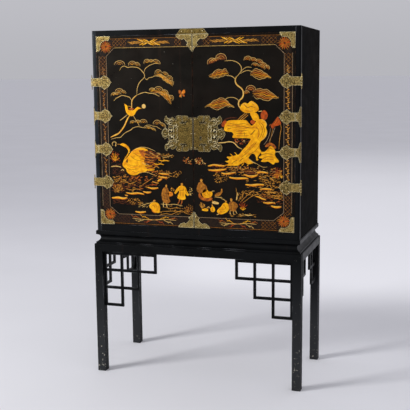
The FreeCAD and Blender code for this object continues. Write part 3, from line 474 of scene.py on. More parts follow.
def ellipse(x, z, rx, rz, turn=0.0, start=0.0, end=360.0, count=12):
    """Points round an ellipse, anticlockwise from start to end in degrees, the whole turned by turn."""
    c, s = math.cos(math.radians(turn)), math.sin(math.radians(turn))
    closed = end - start >= 360.0
    out = []
    for i in range(count):
        a = math.radians(start + (end - start) * i / (count if closed else count - 1))
        u, w = rx * math.cos(a), rz * math.sin(a)
        out.append((x + u * c - w * s, z + u * s + w * c))
    return out


def inside(point, outline):
    """Whether a point lies within an outline."""
    x, z = point
    crossings = 0
    for (ax, az), (bx, bz) in zip(outline, outline[1:] + outline[:1]):
        if (az > z) != (bz > z) and x < ax + (z - az) * (bx - ax) / (bz - az):
            crossings += 1
    return crossings % 2 == 1


def area(outline):
    """The area within an outline, below zero where it runs clockwise."""
    return sum(a[0] * b[1] - b[0] * a[1] for a, b in zip(outline[-1:] + outline, outline)) / 2


def leftward(a, b):
    """The unit direction to the left of the way from a to b."""
    size = math.hypot(b[0] - a[0], b[1] - a[1]) or 1.0
    return (a[1] - b[1]) / size, (b[0] - a[0]) / size


class Relief:
    """Raised work on a face that looks to the front, gathered into one mesh of closed shells."""

    # How deep the foot of the work is bedded in the face.
    BURIED = 0.3
    # Half width of a stroke's flat crest, as a share of its half width.
    CREST = 0.6
    # Width of the rounded rim of a filled shape.
    RIM = 1.6

    def __init__(self, face):
        self.face, self.points, self.faces = face, [], []

    def point(self, x, z, proud):
        self.points.append((x * MM, (self.face - proud) * MM, z * MM))
        return len(self.points) - 1

    def stroke(self, points, width, proud, taper=0.35, run=0.18):
        """A brush line: a low ridge with a flat crest, narrowed to the taper over a run at each end."""
        line, rings = smooth(points), []
        last = len(line) - 1
        for i, (x, z) in enumerate(line):
            nx, nz = leftward(line[max(i - 1, 0)], line[min(i + 1, last)])
            end = min(i, last - i) / max(last, 1)
            half = 0.5 * width * min(1.0, taper + (1 - taper) * (end / run) ** 0.7)
            crest = self.CREST * half
            section = ((half, -self.BURIED), (crest, proud), (-crest, proud), (-half, -self.BURIED))
            rings.append([self.point(x + nx * w, z + nz * w, h) for w, h in section])
        for a, b in zip(rings, rings[1:]):
            self.faces += [(a[k], a[(k + 1) % 4], b[(k + 1) % 4], b[k]) for k in range(4)]
        self.faces += [tuple(reversed(rings[0])), tuple(rings[-1])]

    def mass(self, outline, proud):
        """A filled shape with a rounded rim."""
        line = smooth(outline, closed=True, step=5.0)
        if area(line) < 0:
            line.reverse()
        count = len(line)
        rings = [[], [], []]
        section = ((0.0, -self.BURIED), (0.25 * self.RIM, 0.7 * proud), (self.RIM, proud))
        for i, (x, z) in enumerate(line):
            nx, nz = leftward(line[i - 1], line[(i + 1) % count])
            for ring, (inset, height) in zip(rings, section):
                ring.append(self.point(x + nx * inset, z + nz * inset, height))
        for low, high in zip(rings, rings[1:]):
            self.faces += [(low[i - 1], low[i], high[i], high[i - 1]) for i in range(count)]
        self.faces += [tuple(rings[2]), tuple(reversed(rings[0]))]

    def absorb(self, mesh):
        """Take in a finished mesh."""
        first = len(self.points)
        self.points += [tuple(v.co) for v in mesh.vertices]
        self.faces += [tuple(first + v for v in p.vertices) for p in mesh.polygons]
        bpy.data.meshes.remove(mesh)

    def piece(self, context, name, body, slot, key):
        """The gathered work as an object that moves with its body."""
        mesh = bpy.data.meshes.new(name)
        mesh.from_pydata(self.points, [], self.faces)
        mesh.validate()
        mesh.materials.append(finish(context, key))
        made = put(context, name, mesh)
        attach(made, body)


# ---------------------------------------------------------------- what repeats, as node trees

JOIN, RANDOM = "ShaderNodeCombineXYZ", "FunctionNodeRandomValue"
MOVE, PLACE = "GeometryNodeTransform", "GeometryNodeInstanceOnPoints"


def new_tree(name, inputs):
    """A geometry node tree with those named inputs, the sockets that give them, and its output node."""
    tree = bpy.data.node_groups.new(name, "GeometryNodeTree")
    tree.interface.new_socket("Geometry", in_out="INPUT", socket_type="NodeSocketGeometry")
    for label, kind, default in inputs:
        socket = tree.interface.new_socket(label, in_out="INPUT", socket_type="NodeSocket" + kind)
        if default is not None:
            socket.default_value = default
    tree.interface.new_socket("Geometry", in_out="OUTPUT", socket_type="NodeSocketGeometry")
    return tree, add(tree, "NodeGroupInput").outputs, add(tree, "NodeGroupOutput")


def end_tree(tree, given, instances, out):
    """Make the instances real, give them the finish and hand them out."""
    real = add(tree, "GeometryNodeRealizeInstances", {0: instances})
    shaded = add(tree, "GeometryNodeSetMaterial", {"Geometry": real, "Material": given["Material"]})
    feed(tree, out, {0: shaded})


def leaf_body(tree, given):
    """A pointed leaf lying along X from the origin, of the tree's length, width and thickness."""
    ball = add(tree, "GeometryNodeMeshUVSphere", {"Segments": 6, "Rings": 4, "Radius": 0.5})
    size = add(tree, JOIN, {"X": given["Width"], "Y": given["Thickness"], "Z": given["Length"]})
    shaped = add(tree, MOVE, {"Geometry": ball, "Scale": size})
    half = add(tree, MATH, {0: given["Length"], 1: 0.5}, operation="MULTIPLY")
    out = add(tree, JOIN, {"X": half})
    return add(tree, MOVE, {"Geometry": shaped, "Rotation": (0.0, math.pi / 2, 0.0), "Translation": out})


def leaf_run_tree():
    """Leaves set in pairs along a path, each pair opened by a spread angle."""
    tree, given, out = new_tree("leaf_run", (
        ("Leaves", "Int", 12), ("Length", "Float", 0.02), ("Width", "Float", 0.004),
        ("Thickness", "Float", 0.001), ("Spread", "Float", 0.4), ("Ragged", "Float", 0.25),
        ("Seed", "Int", 0), ("Material", "Material", None)))
    curve = add(tree, "GeometryNodeMeshToCurve", {0: given["Geometry"]})
    points = add(tree, "GeometryNodeResampleCurve", {"Curve": curve, "Count": given["Leaves"]})
    along = add(tree, "ShaderNodeSeparateXYZ", {0: add(tree, "GeometryNodeInputTangent")}).outputs
    heading = add(tree, MATH, {0: along["Z"], 1: along["X"]}, operation="ARCTAN2")
    index = add(tree, "GeometryNodeInputIndex")
    odd = add(tree, MATH, {0: index, 1: 2.0}, operation="MODULO")
    side = add(tree, MATH, {0: odd, 1: 2.0, 2: -1.0}, operation="MULTIPLY_ADD")
    opened = add(tree, MATH, {0: side, 1: given["Spread"], 2: heading}, operation="MULTIPLY_ADD")
    turn = add(tree, MATH, {0: opened, 1: -1.0}, operation="MULTIPLY")
    rotation = add(tree, JOIN, {"Y": turn})
    least = add(tree, MATH, {0: 1.0, 1: given["Ragged"]}, operation="SUBTRACT")
    scale = add(tree, RANDOM, {2: least, 3: 1.0, "Seed": given["Seed"]})
    placed = add(tree, PLACE, {"Points": points, "Instance": leaf_body(tree, given), "Rotation": rotation,
                               "Scale": scale})
    end_tree(tree, given, placed, out)
    return tree


def fleck_tree():
    """Flecks scattered over flat patches, all near one direction."""
    tree, given, out = new_tree("flecks", (
        ("Density", "Float", 20000.0), ("Length", "Float", 0.005), ("Width", "Float", 0.002),
        ("Thickness", "Float", 0.0008), ("Heading", "Float", 0.0), ("Spread", "Float", 0.5),
        ("Seed", "Int", 0), ("Material", "Material", None)))
    points = add(tree, "GeometryNodeDistributePointsOnFaces",
                 {"Mesh": given["Geometry"], "Density": given["Density"], "Seed": given["Seed"]})
    least = add(tree, MATH, {0: given["Heading"], 1: given["Spread"]}, operation="SUBTRACT")
    most = add(tree, MATH, {0: given["Heading"], 1: given["Spread"]}, operation="ADD")
    heading = add(tree, RANDOM, {2: least, 3: most, "Seed": given["Seed"]})
    turn = add(tree, MATH, {0: heading, 1: -1.0}, operation="MULTIPLY")
    rotation = add(tree, JOIN, {"Y": turn})
    scale = add(tree, RANDOM, {2: 0.55, 3: 1.15, "Seed": 3})
    placed = add(tree, PLACE, {"Points": points, "Instance": leaf_body(tree, given), "Rotation": rotation,
                               "Scale": scale})
    end_tree(tree, given, placed, out)
    return tree


def trellis_tree():
    """A panel of crossed lines: one small cross in each cell, whose arms meet those of the next cell."""
    tree, given, out = new_tree("trellis", (
        ("Width", "Float", 0.08), ("Height", "Float", 0.03), ("Pitch", "Float", 0.0085),
        ("Bar", "Float", 0.0012), ("Thickness", "Float", 0.0008), ("Material", "Material", None)))
    counts = []
    for side in ("Width", "Height"):
        cells = add(tree, MATH, {0: given[side], 1: given["Pitch"]}, operation="DIVIDE")
        counts.append(add(tree, MATH, {0: cells}, operation="ROUND"))
    spans = []
    for count in counts:
        gaps = add(tree, MATH, {0: count, 1: 1.0}, operation="SUBTRACT")
        spans.append(add(tree, MATH, {0: gaps, 1: given["Pitch"]}, operation="MULTIPLY"))
    grid = add(tree, "GeometryNodeMeshGrid", {"Size X": spans[0], "Size Y": spans[1],
                                              "Vertices X": counts[0], "Vertices Y": counts[1]})
    upright = add(tree, MOVE, {"Geometry": grid, "Rotation": (math.pi / 2, 0.0, 0.0)})
    centre = add(tree, PLACE, {"Points": given["Geometry"], "Instance": upright})
    cells = add(tree, "GeometryNodeRealizeInstances", {0: centre})
    diagonal = add(tree, MATH, {0: given["Pitch"], 1: math.sqrt(2.0)}, operation="MULTIPLY")
    size = add(tree, JOIN, {"X": diagonal, "Y": given["Thickness"], "Z": given["Bar"]})
    bar = add(tree, "GeometryNodeMeshCube", {"Size": size})
    arms = [add(tree, MOVE, {"Geometry": bar, "Rotation": (0.0, way * math.pi / 4, 0.0)}) for way in (1, -1)]
    cross = add(tree, "GeometryNodeJoinGeometry")
    for arm in arms:
        feed(tree, cross, {0: arm})
    placed = add(tree, PLACE, {"Points": cells, "Instance": cross})
    end_tree(tree, given, placed, out)
    return tree


TREES = {"leaf_run": leaf_run_tree, "flecks": fleck_tree, "trellis": trellis_tree}


def grow(context, kind, points, edges, faces, key, **values):
    """Run one of the trees on a carrier made of those parts and return its result as a plain mesh."""
    tree = bpy.data.node_groups.get(kind) or TREES[kind]()
    carrier = bpy.data.meshes.new(kind)
    carrier.from_pydata(points, edges, faces)
    holder = put(context, kind, carrier)
    modifier = holder.modifiers.new(kind, "NODES")
    modifier.node_group = tree
    values["Material"] = finish(context, key)
    for item in tree.interface.items_tree:
        if item.in_out == "INPUT" and item.name in values:
            modifier[item.identifier] = values[item.name]
    context.view_layer.update()
    mesh = bpy.data.meshes.new_from_object(holder.evaluated_get(context.evaluated_depsgraph_get()))
    bpy.data.objects.remove(holder)
    bpy.data.meshes.remove(carrier)
    if not mesh.polygons:
        raise RuntimeError(f"the {kind} tree made nothing")
    return mesh


# ---------------------------------------------------------------- the decoration, in millimetres

# The doors, each with the sign of its x.
DOORS = {"left": -1, "right": 1}

# Cuts in the lock plate: width as a share of the setting, then places in shares of the plate's width and
# half height.
LOCK_SCROLLS = """
1 0.46,0.02 0.49,0.13 0.46,0.25 0.51,0.36 0.48,0.48 0.53,0.60
1.6 0.58,0.03 0.57,0.12 0.60,0.22 0.57,0.31 0.61,0.40
1.6 0.64,0.05 0.66,0.13 0.72,0.16 0.75,0.08 0.74,0.01
1.5 0.62,0.50 0.66,0.44 0.72,0.47 0.71,0.56 0.65,0.57
1.4 0.78,0.46 0.74,0.56 0.78,0.66 0.85,0.68
1.5 0.57,0.66 0.63,0.72 0.69,0.70 0.71,0.62
1 0.62,0.78 0.70,0.76 0.78,0.82 0.82,0.93
0.8 0.68,0.68 0.76,0.73 0.85,0.78
1.2 0.79,0.14 0.84,0.22 0.89,0.20 0.93,0.12
0.9 0.79,0.03 0.86,0.06 0.96,0.04
1.7 0.17,0.73 0.18,0.64 0.22,0.59 0.26,0.64 0.26,0.74
1.7 0.27,0.74 0.27,0.64 0.31,0.59 0.35,0.63 0.36,0.73
1.2 0.48,0.50 0.50,0.42 0.55,0.38 0.58,0.44
0.85 0.10,0.90 0.12,0.78 0.09,0.70
0.85 0.35,0.92 0.33,0.82 0.36,0.76
0.85 0.50,0.88 0.50,0.76 0.44,0.70
0.5 0.10,0.10 0.20,0.34 0.34,0.44 0.44,0.30
0.5 0.12,0.38 0.22,0.18 0.36,0.10 0.44,0.14
0.6 0.14,0.10 0.20,0.16 0.18,0.26 0.25,0.30 0.33,0.26 0.38,0.34
0.6 0.16,0.44 0.24,0.50 0.22,0.60 0.30,0.58
"""
# How far the tarnish in a cut and the ridge beside it, painted pale as a highlight, stand off the brass,
# and a ridge's width as a share of its cut's. Cuts have a ridge where their width lies between these two
# shares.
CUT_PROUD, RIDGE_PROUD, RIDGE_SHARE = 0.12, 0.25, 0.7
RIDGED = (0.9, 1.7)
# The lock plate's rosettes: place in shares of its width and half height, then radius and relief of their
# hollow and of their boss.
ROSETTE_X, ROSETTE_Z = 0.66, 0.19
HOLLOW_RADIUS, HOLLOW_PROUD, BOSS_RADIUS, BOSS_PROUD = 10, 0.2, 5, 0.3
# The joint of the lock plate: its inset in x, its reach as a share of the half height, its width.
JOINT_X, JOINT_REACH, JOINT_WIDTH = 1.3, 0.96, 2.4
# The hinge plates: their middles, their rings as radius and share of the cut's width, and the rays across
# the rings: how many, the radii of their points, and their curl in radians for each millimetre of radius.
PLATE_X, PLATE_HEIGHTS = 421, (913.5, 1065.5, 1217.5, 1369.5)
PLATE_RINGS = ((20, 0.7), (9, 1.0))
RAYS, RAY_RADII, RAY_CURL = 8, (10, 14, 18), 0.02

# Lines that frame each door: finish and points, for the right door; the left is its mirror image.
BORDER_LINES = """
cream 20,1522 372,1522
line 372,1522 410,1485
line 410,1485 410,801
line 410,801 366,766
line 366,766 20,766
robe 68,1562 396,1562
line 446,1488 446,802
robe 396,723 68,723
"""
# Red-brown bands under the borders, for the right door: x from, x to, z from, z to.
BANDS = ((413, 443, 803, 1487), (30, 372, 1525, 1559), (30, 366, 726, 763))
BAND_PROUD = 0.12
# Trellis panels: centre x, centre z, width, height. Below that height they are browner on the left door.
TRELLIS = ((345, 1542, 76, 34), (66, 1542, 34, 34), (428, 1444, 26, 84), (428, 834, 26, 84),
           (345, 745, 76, 34))
BROWNER_BELOW = 900
# Sprays in the border: x from, x to, z, finish, for each door as it stands.
SPRAYS = {"left": ((-300, -108, 1543, "gold"), (-300, -85, 747, "cream")),
          "right": ((82, 298, 1543, "gold"), (118, 288, 746, "cream"))}
# Twigs of a pale spray: how far along it they fork, as a share of its reach, and their finish.
TWIGS = ((0.05, "red"), (0.22, "gold"), (0.42, "cream"), (0.62, "orange"))
# Width of a twig, and of the stem of a spray or a chain.
TWIG_WIDTH, STEM_WIDTH = 2.6, 2.0
# Chains of leaves up the side borders: z from, z to.
CHAIN_X, CHAINS = 427, ((1252, 1336), (1098, 1186), (946, 1034), (1402, 1430), (884, 912))
# The stars at the corners: their middles, the number and the length of their leaves, how much longer every
# other leaf is, and the radius and relief of their boss.
STAR_X, STAR_HEIGHTS, STAR_LEAVES = 411, (1528, 764), 16
STAR_LENGTH, STAR_LONGER, STAR_BOSS, STAR_BOSS_PROUD = 25, 6, 4, 1.2

# Strokes of each group: door, finish, width, points.
STROKES = {"trees": """
left gold 8.5 -399,1120 -380,1129 -360,1138 -345,1152 -330,1172 -318,1195 -308,1212 -297,1226
left cream 4.2 -397,1111 -372,1118 -350,1121 -335,1135 -318,1146 -300,1154 -285,1165 -262,1170 -240,1166
    -225,1164
left cream 3.4 -236,1166 -222,1176 -205,1178 -190,1173 -176,1172 -163,1165 -150,1158
left gold 3.2 -312,1261 -303,1262 -294,1260
left cream 5.4 -313,1224 -333,1209 -351,1197
left cream 4 -286,1222 -275,1204 -263,1186 -256,1172
left gold 6 -292,1240 -291,1262 -290,1282 -281,1299 -264,1312
left cream 4.6 -265,1310 -264,1330 -259,1352 -247,1372 -229,1388 -226,1400 -232,1412 -246,1426 -259,1434
    -273,1436 -290,1437 -306,1435 -322,1441 -336,1437 -346,1421
left cream 4.2 -229,1410 -222,1428 -206,1440 -190,1447 -170,1451 -152,1449
left cream 3.6 -228,1391 -216,1380 -204,1389 -191,1390 -178,1396 -161,1395 -147,1391
left cream 4.8 -267,1311 -246,1319 -225,1324 -205,1320 -190,1319 -171,1313 -156,1305
left cream 4.2 -289,1283 -299,1300 -318,1307 -338,1310 -352,1304 -367,1297 -378,1286
left cream 1.8 -50,1326 -51,1314 -54,1298
left cream 1.6 -66,1332 -58,1322 -50,1317 -42,1324 -36,1334
right gold 8 224,1247 212,1261 209,1275 214,1288 226,1299 231,1314 229,1329 220,1341 206,1351 197,1363
    195,1378 202,1391
right cream 4.4 200,1388 213,1402 222,1416 221,1432 210,1446 194,1455 172,1459 148,1457
right cream 3.8 220,1410 234,1424 250,1430 268,1428
right cream 4 216,1402 238,1413 254,1415 270,1411
right cream 4.4 198,1376 188,1386 174,1393 157,1394
right cream 4 216,1282 200,1295 182,1301 165,1300 148,1293
right cream 3 190,1256 176,1262 160,1258
right line 2.2 352,1170 346,1140 336,1116 322,1098
right foliage 2 361,1168 356,1140 351,1120 346,1102
right line 2.2 372,1176 363,1150 352,1126 344,1112
right foliage 2.6 392,1198 398,1172 395,1150 390,1110 388,1078
right orange 3 346,1178 352,1186 360,1180
right amber 2.4 366,1184 374,1196 382,1208
right orange 3 384,1186 388,1194 389,1204
""", "birds": """
left cream 3.2 -372,1088 -374,1097 -382,1100 -390,1096 -392,1088 -388,1081
left cream 3.4 -370,1086 -377,1080 -371,1098
left foliage 3 -367,1089 -356,1089 -344,1087
left gold 6.4 -308,1066 -312,1050 -321,1036 -331,1021 -337,1006 -339,992
left cream 2.8 -300,1053 -278,1068 -250,1077 -222,1075 -200,1068 -180,1060
left foliage 5 -206,1052 -186,1043 -168,1033 -156,1030
left gold 5 -168,1022 -150,1017 -132,1019 -115,1017
left gold 4.6 -190,1004 -172,1001 -156,1003 -140,1000
left foliage 3.6 -204,1036 -188,1031 -174,1040 -156,1048
left cream 3 -197,1054 -182,1050 -168,1052 -152,1046
left foliage 3.6 -190,986 -176,991 -164,984
left cream 3.2 -247,1008 -234,1000 -222,1001 -213,996
left gold 4.4 -246,979 -228,975 -212,979 -200,977
left cream 2.2 -262,957 -240,964 -218,962 -200,956 -182,950
left cream 2.6 -303,1058 -318,1040 -332,1018 -339,1002 -340,986
left amber 5 -290,1060 -270,1064 -252,1064
left amber 5 -278,1046 -262,1048 -246,1044
left orange 4 -238,1058 -222,1056 -208,1060 -194,1056
left cream 3 -210,1054 -196,1050 -182,1041 -168,1036
left orange 4.6 -200,1042 -184,1037 -170,1029 -156,1026
left foliage 3 -232,1048 -216,1042 -204,1044
left amber 3.4 -236,1036 -220,1030 -206,1033 -192,1028
left foliage 3.4 -230,1020 -214,1022 -202,1016 -188,1018
left amber 3.4 -228,1012 -212,1008 -198,1009 -184,1004
left gold 7 -262,1008 -244,1006 -228,1002
left gold 6 -262,996 -238,996 -216,992 -196,993
left amber 5 -256,986 -230,986 -206,982 -186,984
left gold 6.4 -262,976 -236,976 -212,974 -186,976
left orange 4.2 -226,1000 -206,1002 -190,998 -170,996
left orange 4 -226,968 -206,970 -188,966 -170,970
left brown 3.2 -232,990 -210,987 -192,989
left brown 3.2 -226,980 -206,979 -190,981
left cream 2.6 -150,1036 -132,1034 -112,1040 -96,1046
left foliage 3 -148,1044 -130,1042 -112,1048
left orange 4.2 -258,1054 -236,1051 -216,1046
left amber 4.2 -256,1038 -234,1036 -210,1030
left orange 4.2 -254,1024 -232,1022 -212,1020
left amber 4 -250,1012 -230,1010 -208,1012
left amber 3.4 -322,998 -296,984 -270,990
left orange 3 -296,966 -276,962 -258,970
left brown 2 -330,985 -310,975 -290,974 -270,980
left brown 1.8 -318,1002 -300,992 -280,991 -262,998
left brown 1.8 -300,1035 -282,1022 -262,1016 -246,1018
left brown 1.8 -288,1052 -270,1040 -252,1034
right gold 4.4 196,1026 176,1034 158,1043
right gold 4.4 200,1034 184,1044 170,1056
right gold 4.4 190,1016 168,1019 148,1022
right gold 4 186,1008 164,1008 144,1003
right gold 4 210,1044 200,1052 190,1062
right gold 4 234,1026 230,1012 222,1004
right gold 4 250,1022 252,1010 246,1003
right cream 3.4 256,1034 272,1022 288,1014
right orange 2.6 306,1192 318,1182 322,1168
right orange 2.6 286,1176 298,1160 300,1140 292,1122
right orange 2.6 280,1106 266,1090 250,1074 234,1060
right orange 2.4 272,1130 262,1118 258,1108
right orange 2.4 152,1176 170,1180 196,1178 216,1182
right orange 2.4 206,1170 232,1168 258,1170
right orange 2.4 196,1153 214,1152 228,1154
right orange 2.4 240,1246 256,1242 276,1243
right orange 2.4 232,1272 240,1266 244,1258
right orange 2.6 330,1034 346,1036 366,1032
right orange 2.4 342,1090 352,1082 366,1078
right cream 4.6 296,1241 305,1241 314,1243
right foliage 3 204,1203 222,1220 240,1233
right foliage 3 212,1202 230,1217 247,1231
right foliage 3 222,1202 239,1214 252,1226
right brown 3.2 140,1199 158,1209 180,1213 203,1212
right brown 2.8 262,1138 272,1148 284,1161
right brown 2.4 158,1163 168,1167 178,1168
right brown 1.6 170,1188 200,1184 232,1188 258,1182
right brown 1.6 160,1178 190,1172 222,1176 256,1170 280,1172
right brown 1.6 196,1160 226,1158 254,1160
right brown 1.6 196,1146 222,1144 246,1147
right brown 1.6 200,1136 230,1134 256,1137
right brown 1.6 234,1152 236,1142 233,1134
right brown 1.6 300,1190 312,1176 316,1158 310,1138 298,1120
right brown 1.6 318,1184 324,1164 322,1146 314,1130
right brown 1.6 292,1112 276,1092 256,1072 238,1054 220,1040
right brown 1.6 300,1092 288,1074 272,1062 256,1054 240,1040
right cream 2.4 226,1266 237,1273 247,1267
right cream 2.4 256,1276 268,1281 281,1271 291,1258
right cream 2 250,1262 256,1251 263,1243
right cream 2.6 312,1206 326,1200 334,1186 330,1172
right cream 2.4 336,1158 334,1142 324,1126 312,1116
right brown 2.6 212,1022 220,1030 230,1037
right brown 2.2 176,1010 190,1022 204,1028
right brown 1.8 236,1266 250,1258 268,1262 284,1256
right red 2.6 252,1254 262,1262 274,1258
right cream 5 88,1105 115,1103 140,1104 164,1108 182,1106 195,1097 206,1085 224,1077
right cream 3.8 371,1067 384,1068 397,1069
right brown 2 302,1047 316,1055 338,1059 362,1056
right brown 1.8 312,1030 322,1040 340,1046 364,1044
right brown 1.8 340,1078 350,1084 360,1078
right cream 2 284,1018 300,1008 318,1000 338,1001
""", "landscape": """
left gold 8.2 -331,867 -302,864 -268,867 -240,862
left gold 8 -246,875 -226,871 -206,874
left gold 8 -223,895 -199,891 -171,894
left gold 10.5 -402,840 -371,843 -346,840 -324,844
left gold 6.2 -336,855 -322,853
left gold 8 -286,781 -261,778 -233,782
left cream 4.4 -401,985 -376,988 -350,984
left cream 4 -352,968 -343,973 -336,968
left gold 7 -167,961 -141,958 -117,959
left gold 6.8 -171,946 -146,943 -124,941
left gold 8.2 -174,924 -161,932 -152,936
left foliage 6 -199,923 -181,917 -167,915
left foliage 2.6 -247,905 -222,921 -200,936
left cream 2.6 -262,806 -232,817 -205,825 -188,833
left cream 2.6 -160,820 -126,818 -92,821 -54,815
left foliage 2.4 -157,785 -122,788 -92,790 -60,786
left foliage 2.4 -167,768 -136,776 -108,774 -82,786 -58,792 -38,782 -12,776
left foliage 2.2 -140,806 -112,801 -84,806 -60,802
left foliage 2.4 -362,912 -334,917 -306,909 -282,916
left brown 3.6 -352,900 -324,893 -296,902 -262,896
left foliage 2.6 -330,884 -302,880 -276,885 -252,880
left red 3 -216,905 -196,908 -176,905
right gold 8.2 66,999 92,1005 120,1003 146,1001
right gold 8.8 67,982 96,981 130,984 152,989
right gold 8 128,970 150,967 176,971 196,975
right gold 8.8 164,951 200,948 236,950 252,947
right gold 9 230,967 256,959 281,961 296,969
right gold 8 289,976 316,979 341,975
right gold 9.5 238,922 270,920 300,924 323,923
right gold 8 303,903 331,906 358,904
right foliage 5.6 330,889 351,891 376,888
right gold 7.5 285,871 301,868 313,862 331,858
right gold 7.8 318,845 341,843 361,846 373,843
right gold 9.2 353,831 376,827 400,829
right cream 5 234,787 252,785 269,787
right foliage 4 358,878 381,875 401,877
right foliage 3.4 366,866 385,864 401,862
right brown 3.6 232,976 256,983 282,978
right foliage 2.4 150,992 186,996 222,988 256,994
right foliage 1.9 208,846 224,870 240,896
right foliage 1.9 205,850 200,876 196,906
right foliage 1.9 216,842 246,872 280,900
right foliage 1.9 226,838 262,866 302,884
right cream 5.4 197,850 201,868 204,885
right cream 3.2 98,862 118,860 133,861
right cream 2.8 126,856 142,850 151,842
right cream 2.8 59,807 68,817 77,807
right cream 2.4 212,788 222,783 232,787
right foliage 2.4 300,946 316,957 336,962 356,952 370,936
"""}

# Filled shapes of each group: door, finish, relief as a share of the full relief, points.
MASSES = {"trees": """
left gold 1 -326,1273 -323,1256 -321,1240 -312,1226 -296,1217 -279,1223 -270,1237 -258,1248 -243,1251
    -262,1259 -273,1252 -283,1244 -300,1244 -309,1247 -311,1262
left red 1.15 -306,1252 -300,1246 -286,1246 -280,1250 -290,1254
left cream 0.8 -242,1258 -240,1269 -230,1272 -223,1264 -225,1254 -236,1252
left orange 0.8 -50,1316 -60,1316 -66,1323 -62,1334 -53,1328
right red 0.9 384,1218 392,1204 397,1188 384,1180 372,1178 362,1166 355,1172 352,1183 362,1191 371,1204
left amber 0.9 -50,1318 -47,1330 -38,1335 -34,1324 -41,1317
left amber 0.8 -52,1316 -60,1312 -62,1303 -54,1304
left orange 0.8 -49,1316 -40,1314 -37,1305 -46,1306
""", "birds": """
left gold 0.9 -352,1088 -342,1094 -326,1090 -313,1080 -304,1063 -312,1060 -321,1072 -334,1078 -345,1083
left gold 1 -343,1000 -338,985 -326,976 -322,962 -306,950 -290,947 -272,951 -258,959 -242,963 -226,968
    -222,978 -230,989 -236,1003 -234,1019 -230,1036 -224,1050 -216,1062 -230,1072 -250,1075 -280,1067
    -300,1052 -318,1030 -333,1015
left brown 1.12 -318,1003 -314,1013 -318,1025 -324,1018 -326,1008
left orange 1.1 -262,1062 -240,1066 -226,1058 -232,1044 -238,1030 -250,1040
left brown 1.2 -240,1056 -214,1063 -186,1055 -160,1047 -156,1034 -174,1024 -184,1012 -196,1000 -214,994
    -230,1002 -238,1014 -229,1026 -241,1034 -230,1044
right gold 1 216,1251 220,1266 231,1277 242,1278 249,1274 258,1281 268,1286 284,1277 296,1264 299,1247
    286,1238 265,1235 245,1233 229,1239
right gold 1 260,1238 282,1237 296,1226 301,1211 293,1198 276,1203 268,1214
right gold 1 144,1170 150,1188 164,1200 200,1203 240,1203 254,1192 268,1179 280,1188 295,1205 315,1208
    328,1200 335,1186 331,1172 337,1155 334,1138 323,1122 309,1112 303,1098 304,1080 310,1068 302,1054
    294,1040 299,1032 290,1027 286,1045 279,1056 268,1057 257,1046 254,1037 262,1029 277,1019 262,1012
    248,1012 236,1019 216,1010 205,1004 180,1003 156,1003 163,1014 150,1020 166,1029 154,1040 172,1043
    190,1048 208,1052 218,1062 228,1075 243,1090 255,1105 264,1121 240,1125 205,1124 181,1127 186,1140
    178,1150 160,1152 144,1157
right red 1 131,1180 136,1194 150,1201 156,1192 147,1180 139,1171
right red 1.12 262,1196 268,1204 280,1201 284,1191 276,1184 266,1188
right red 0.8 308,1216 310,1235 322,1247 335,1238 339,1222 331,1206 318,1204
right gold 1 299,1041 312,1054 304,1067 325,1067 339,1079 351,1093 363,1086 373,1070 371,1055 378,1042
    389,1028 385,1021 373,1021 365,1012 353,1018 340,1025 325,1022 309,1025 317,1036
right orange 0.8 327,1088 334,1102 350,1107 368,1099 377,1084 367,1082 352,1096 340,1089
""", "landscape": """
right brown 0.6 236,972 262,979 292,974 284,968 258,966
"""}

# Pads of foliage: door, then each lobe as x, z, half width, half height, turn.
LOBES = """
left -345,1448,26,18,0
left -262,1443,17,14,-18 -284,1446,20,17,6
left -170,1452,21,16,-14 -193,1457,15,12,0 -212,1454,16,17,12
left -101,1364,13,13,-40 -122,1368,16,12,-30 -108,1382,17,15,-34 -140,1386,18,13,-26 -128,1400,17,13,-28
    -160,1409,17,15,6
left -104,1296,13,17,-42 -122,1306,17,13,-34 -146,1311,19,12,-22 -130,1321,18,14,-28 -191,1331,15,13,4
    -160,1332,22,18,-8
left -330,1320,13,13,-12 -378,1312,14,12,14 -360,1313,20,11,8 -351,1325,21,17,8
left -288,1186,14,12,10 -262,1188,16,12,-6 -236,1187,19,17,-4
left -146,1174,20,14,-34 -170,1181,20,20,4
left -192,1156,17,9,-18 -212,1161,18,11,-4
right 90,1451,22,20,18 108,1459,24,12,12 131,1466,26,24,-4
right 334,1424,13,14,-36 312,1426,16,13,-30 318,1435,18,14,-28 284,1435,18,12,-14 300,1448,19,15,-22
    274,1455,18,15,-12 251,1461,18,16,8
right 245,1317,15,13,12 264,1332,23,21,0
"""

# Pads drawn with long wavy lines: door, rows, points of the upper edge, points of the lower edge.
FEATHERS = """
left 5 -178,1404 -156,1406 -132,1394 -112,1382 -98,1366 -92,1352 / -174,1400 -152,1393 -138,1380 -124,1370
    -108,1361 -93,1351
left 6 -204,1331 -184,1341 -160,1344 -138,1336 -118,1318 -104,1296 -100,1272 / -200,1327 -180,1321 -158,1320
    -142,1308 -128,1296 -116,1284 -104,1270
right 5 262,1400 276,1418 292,1422 308,1415 330,1402 354,1384 / 262,1396 276,1390 296,1378 318,1380 336,1386
    354,1383
right 5 76,1394 98,1410 116,1422 134,1418 150,1424 166,1402 / 76,1390 96,1385 116,1386 138,1391 152,1396
    166,1398
right 6 272,1324 290,1337 314,1336 340,1331 364,1314 387,1299 / 272,1310 288,1296 310,1295 336,1286 360,1296
    387,1297
right 6 56,1260 82,1276 106,1290 130,1298 150,1293 166,1276 190,1261 / 56,1257 78,1262 100,1249 124,1250
    146,1262 168,1263 190,1259
"""

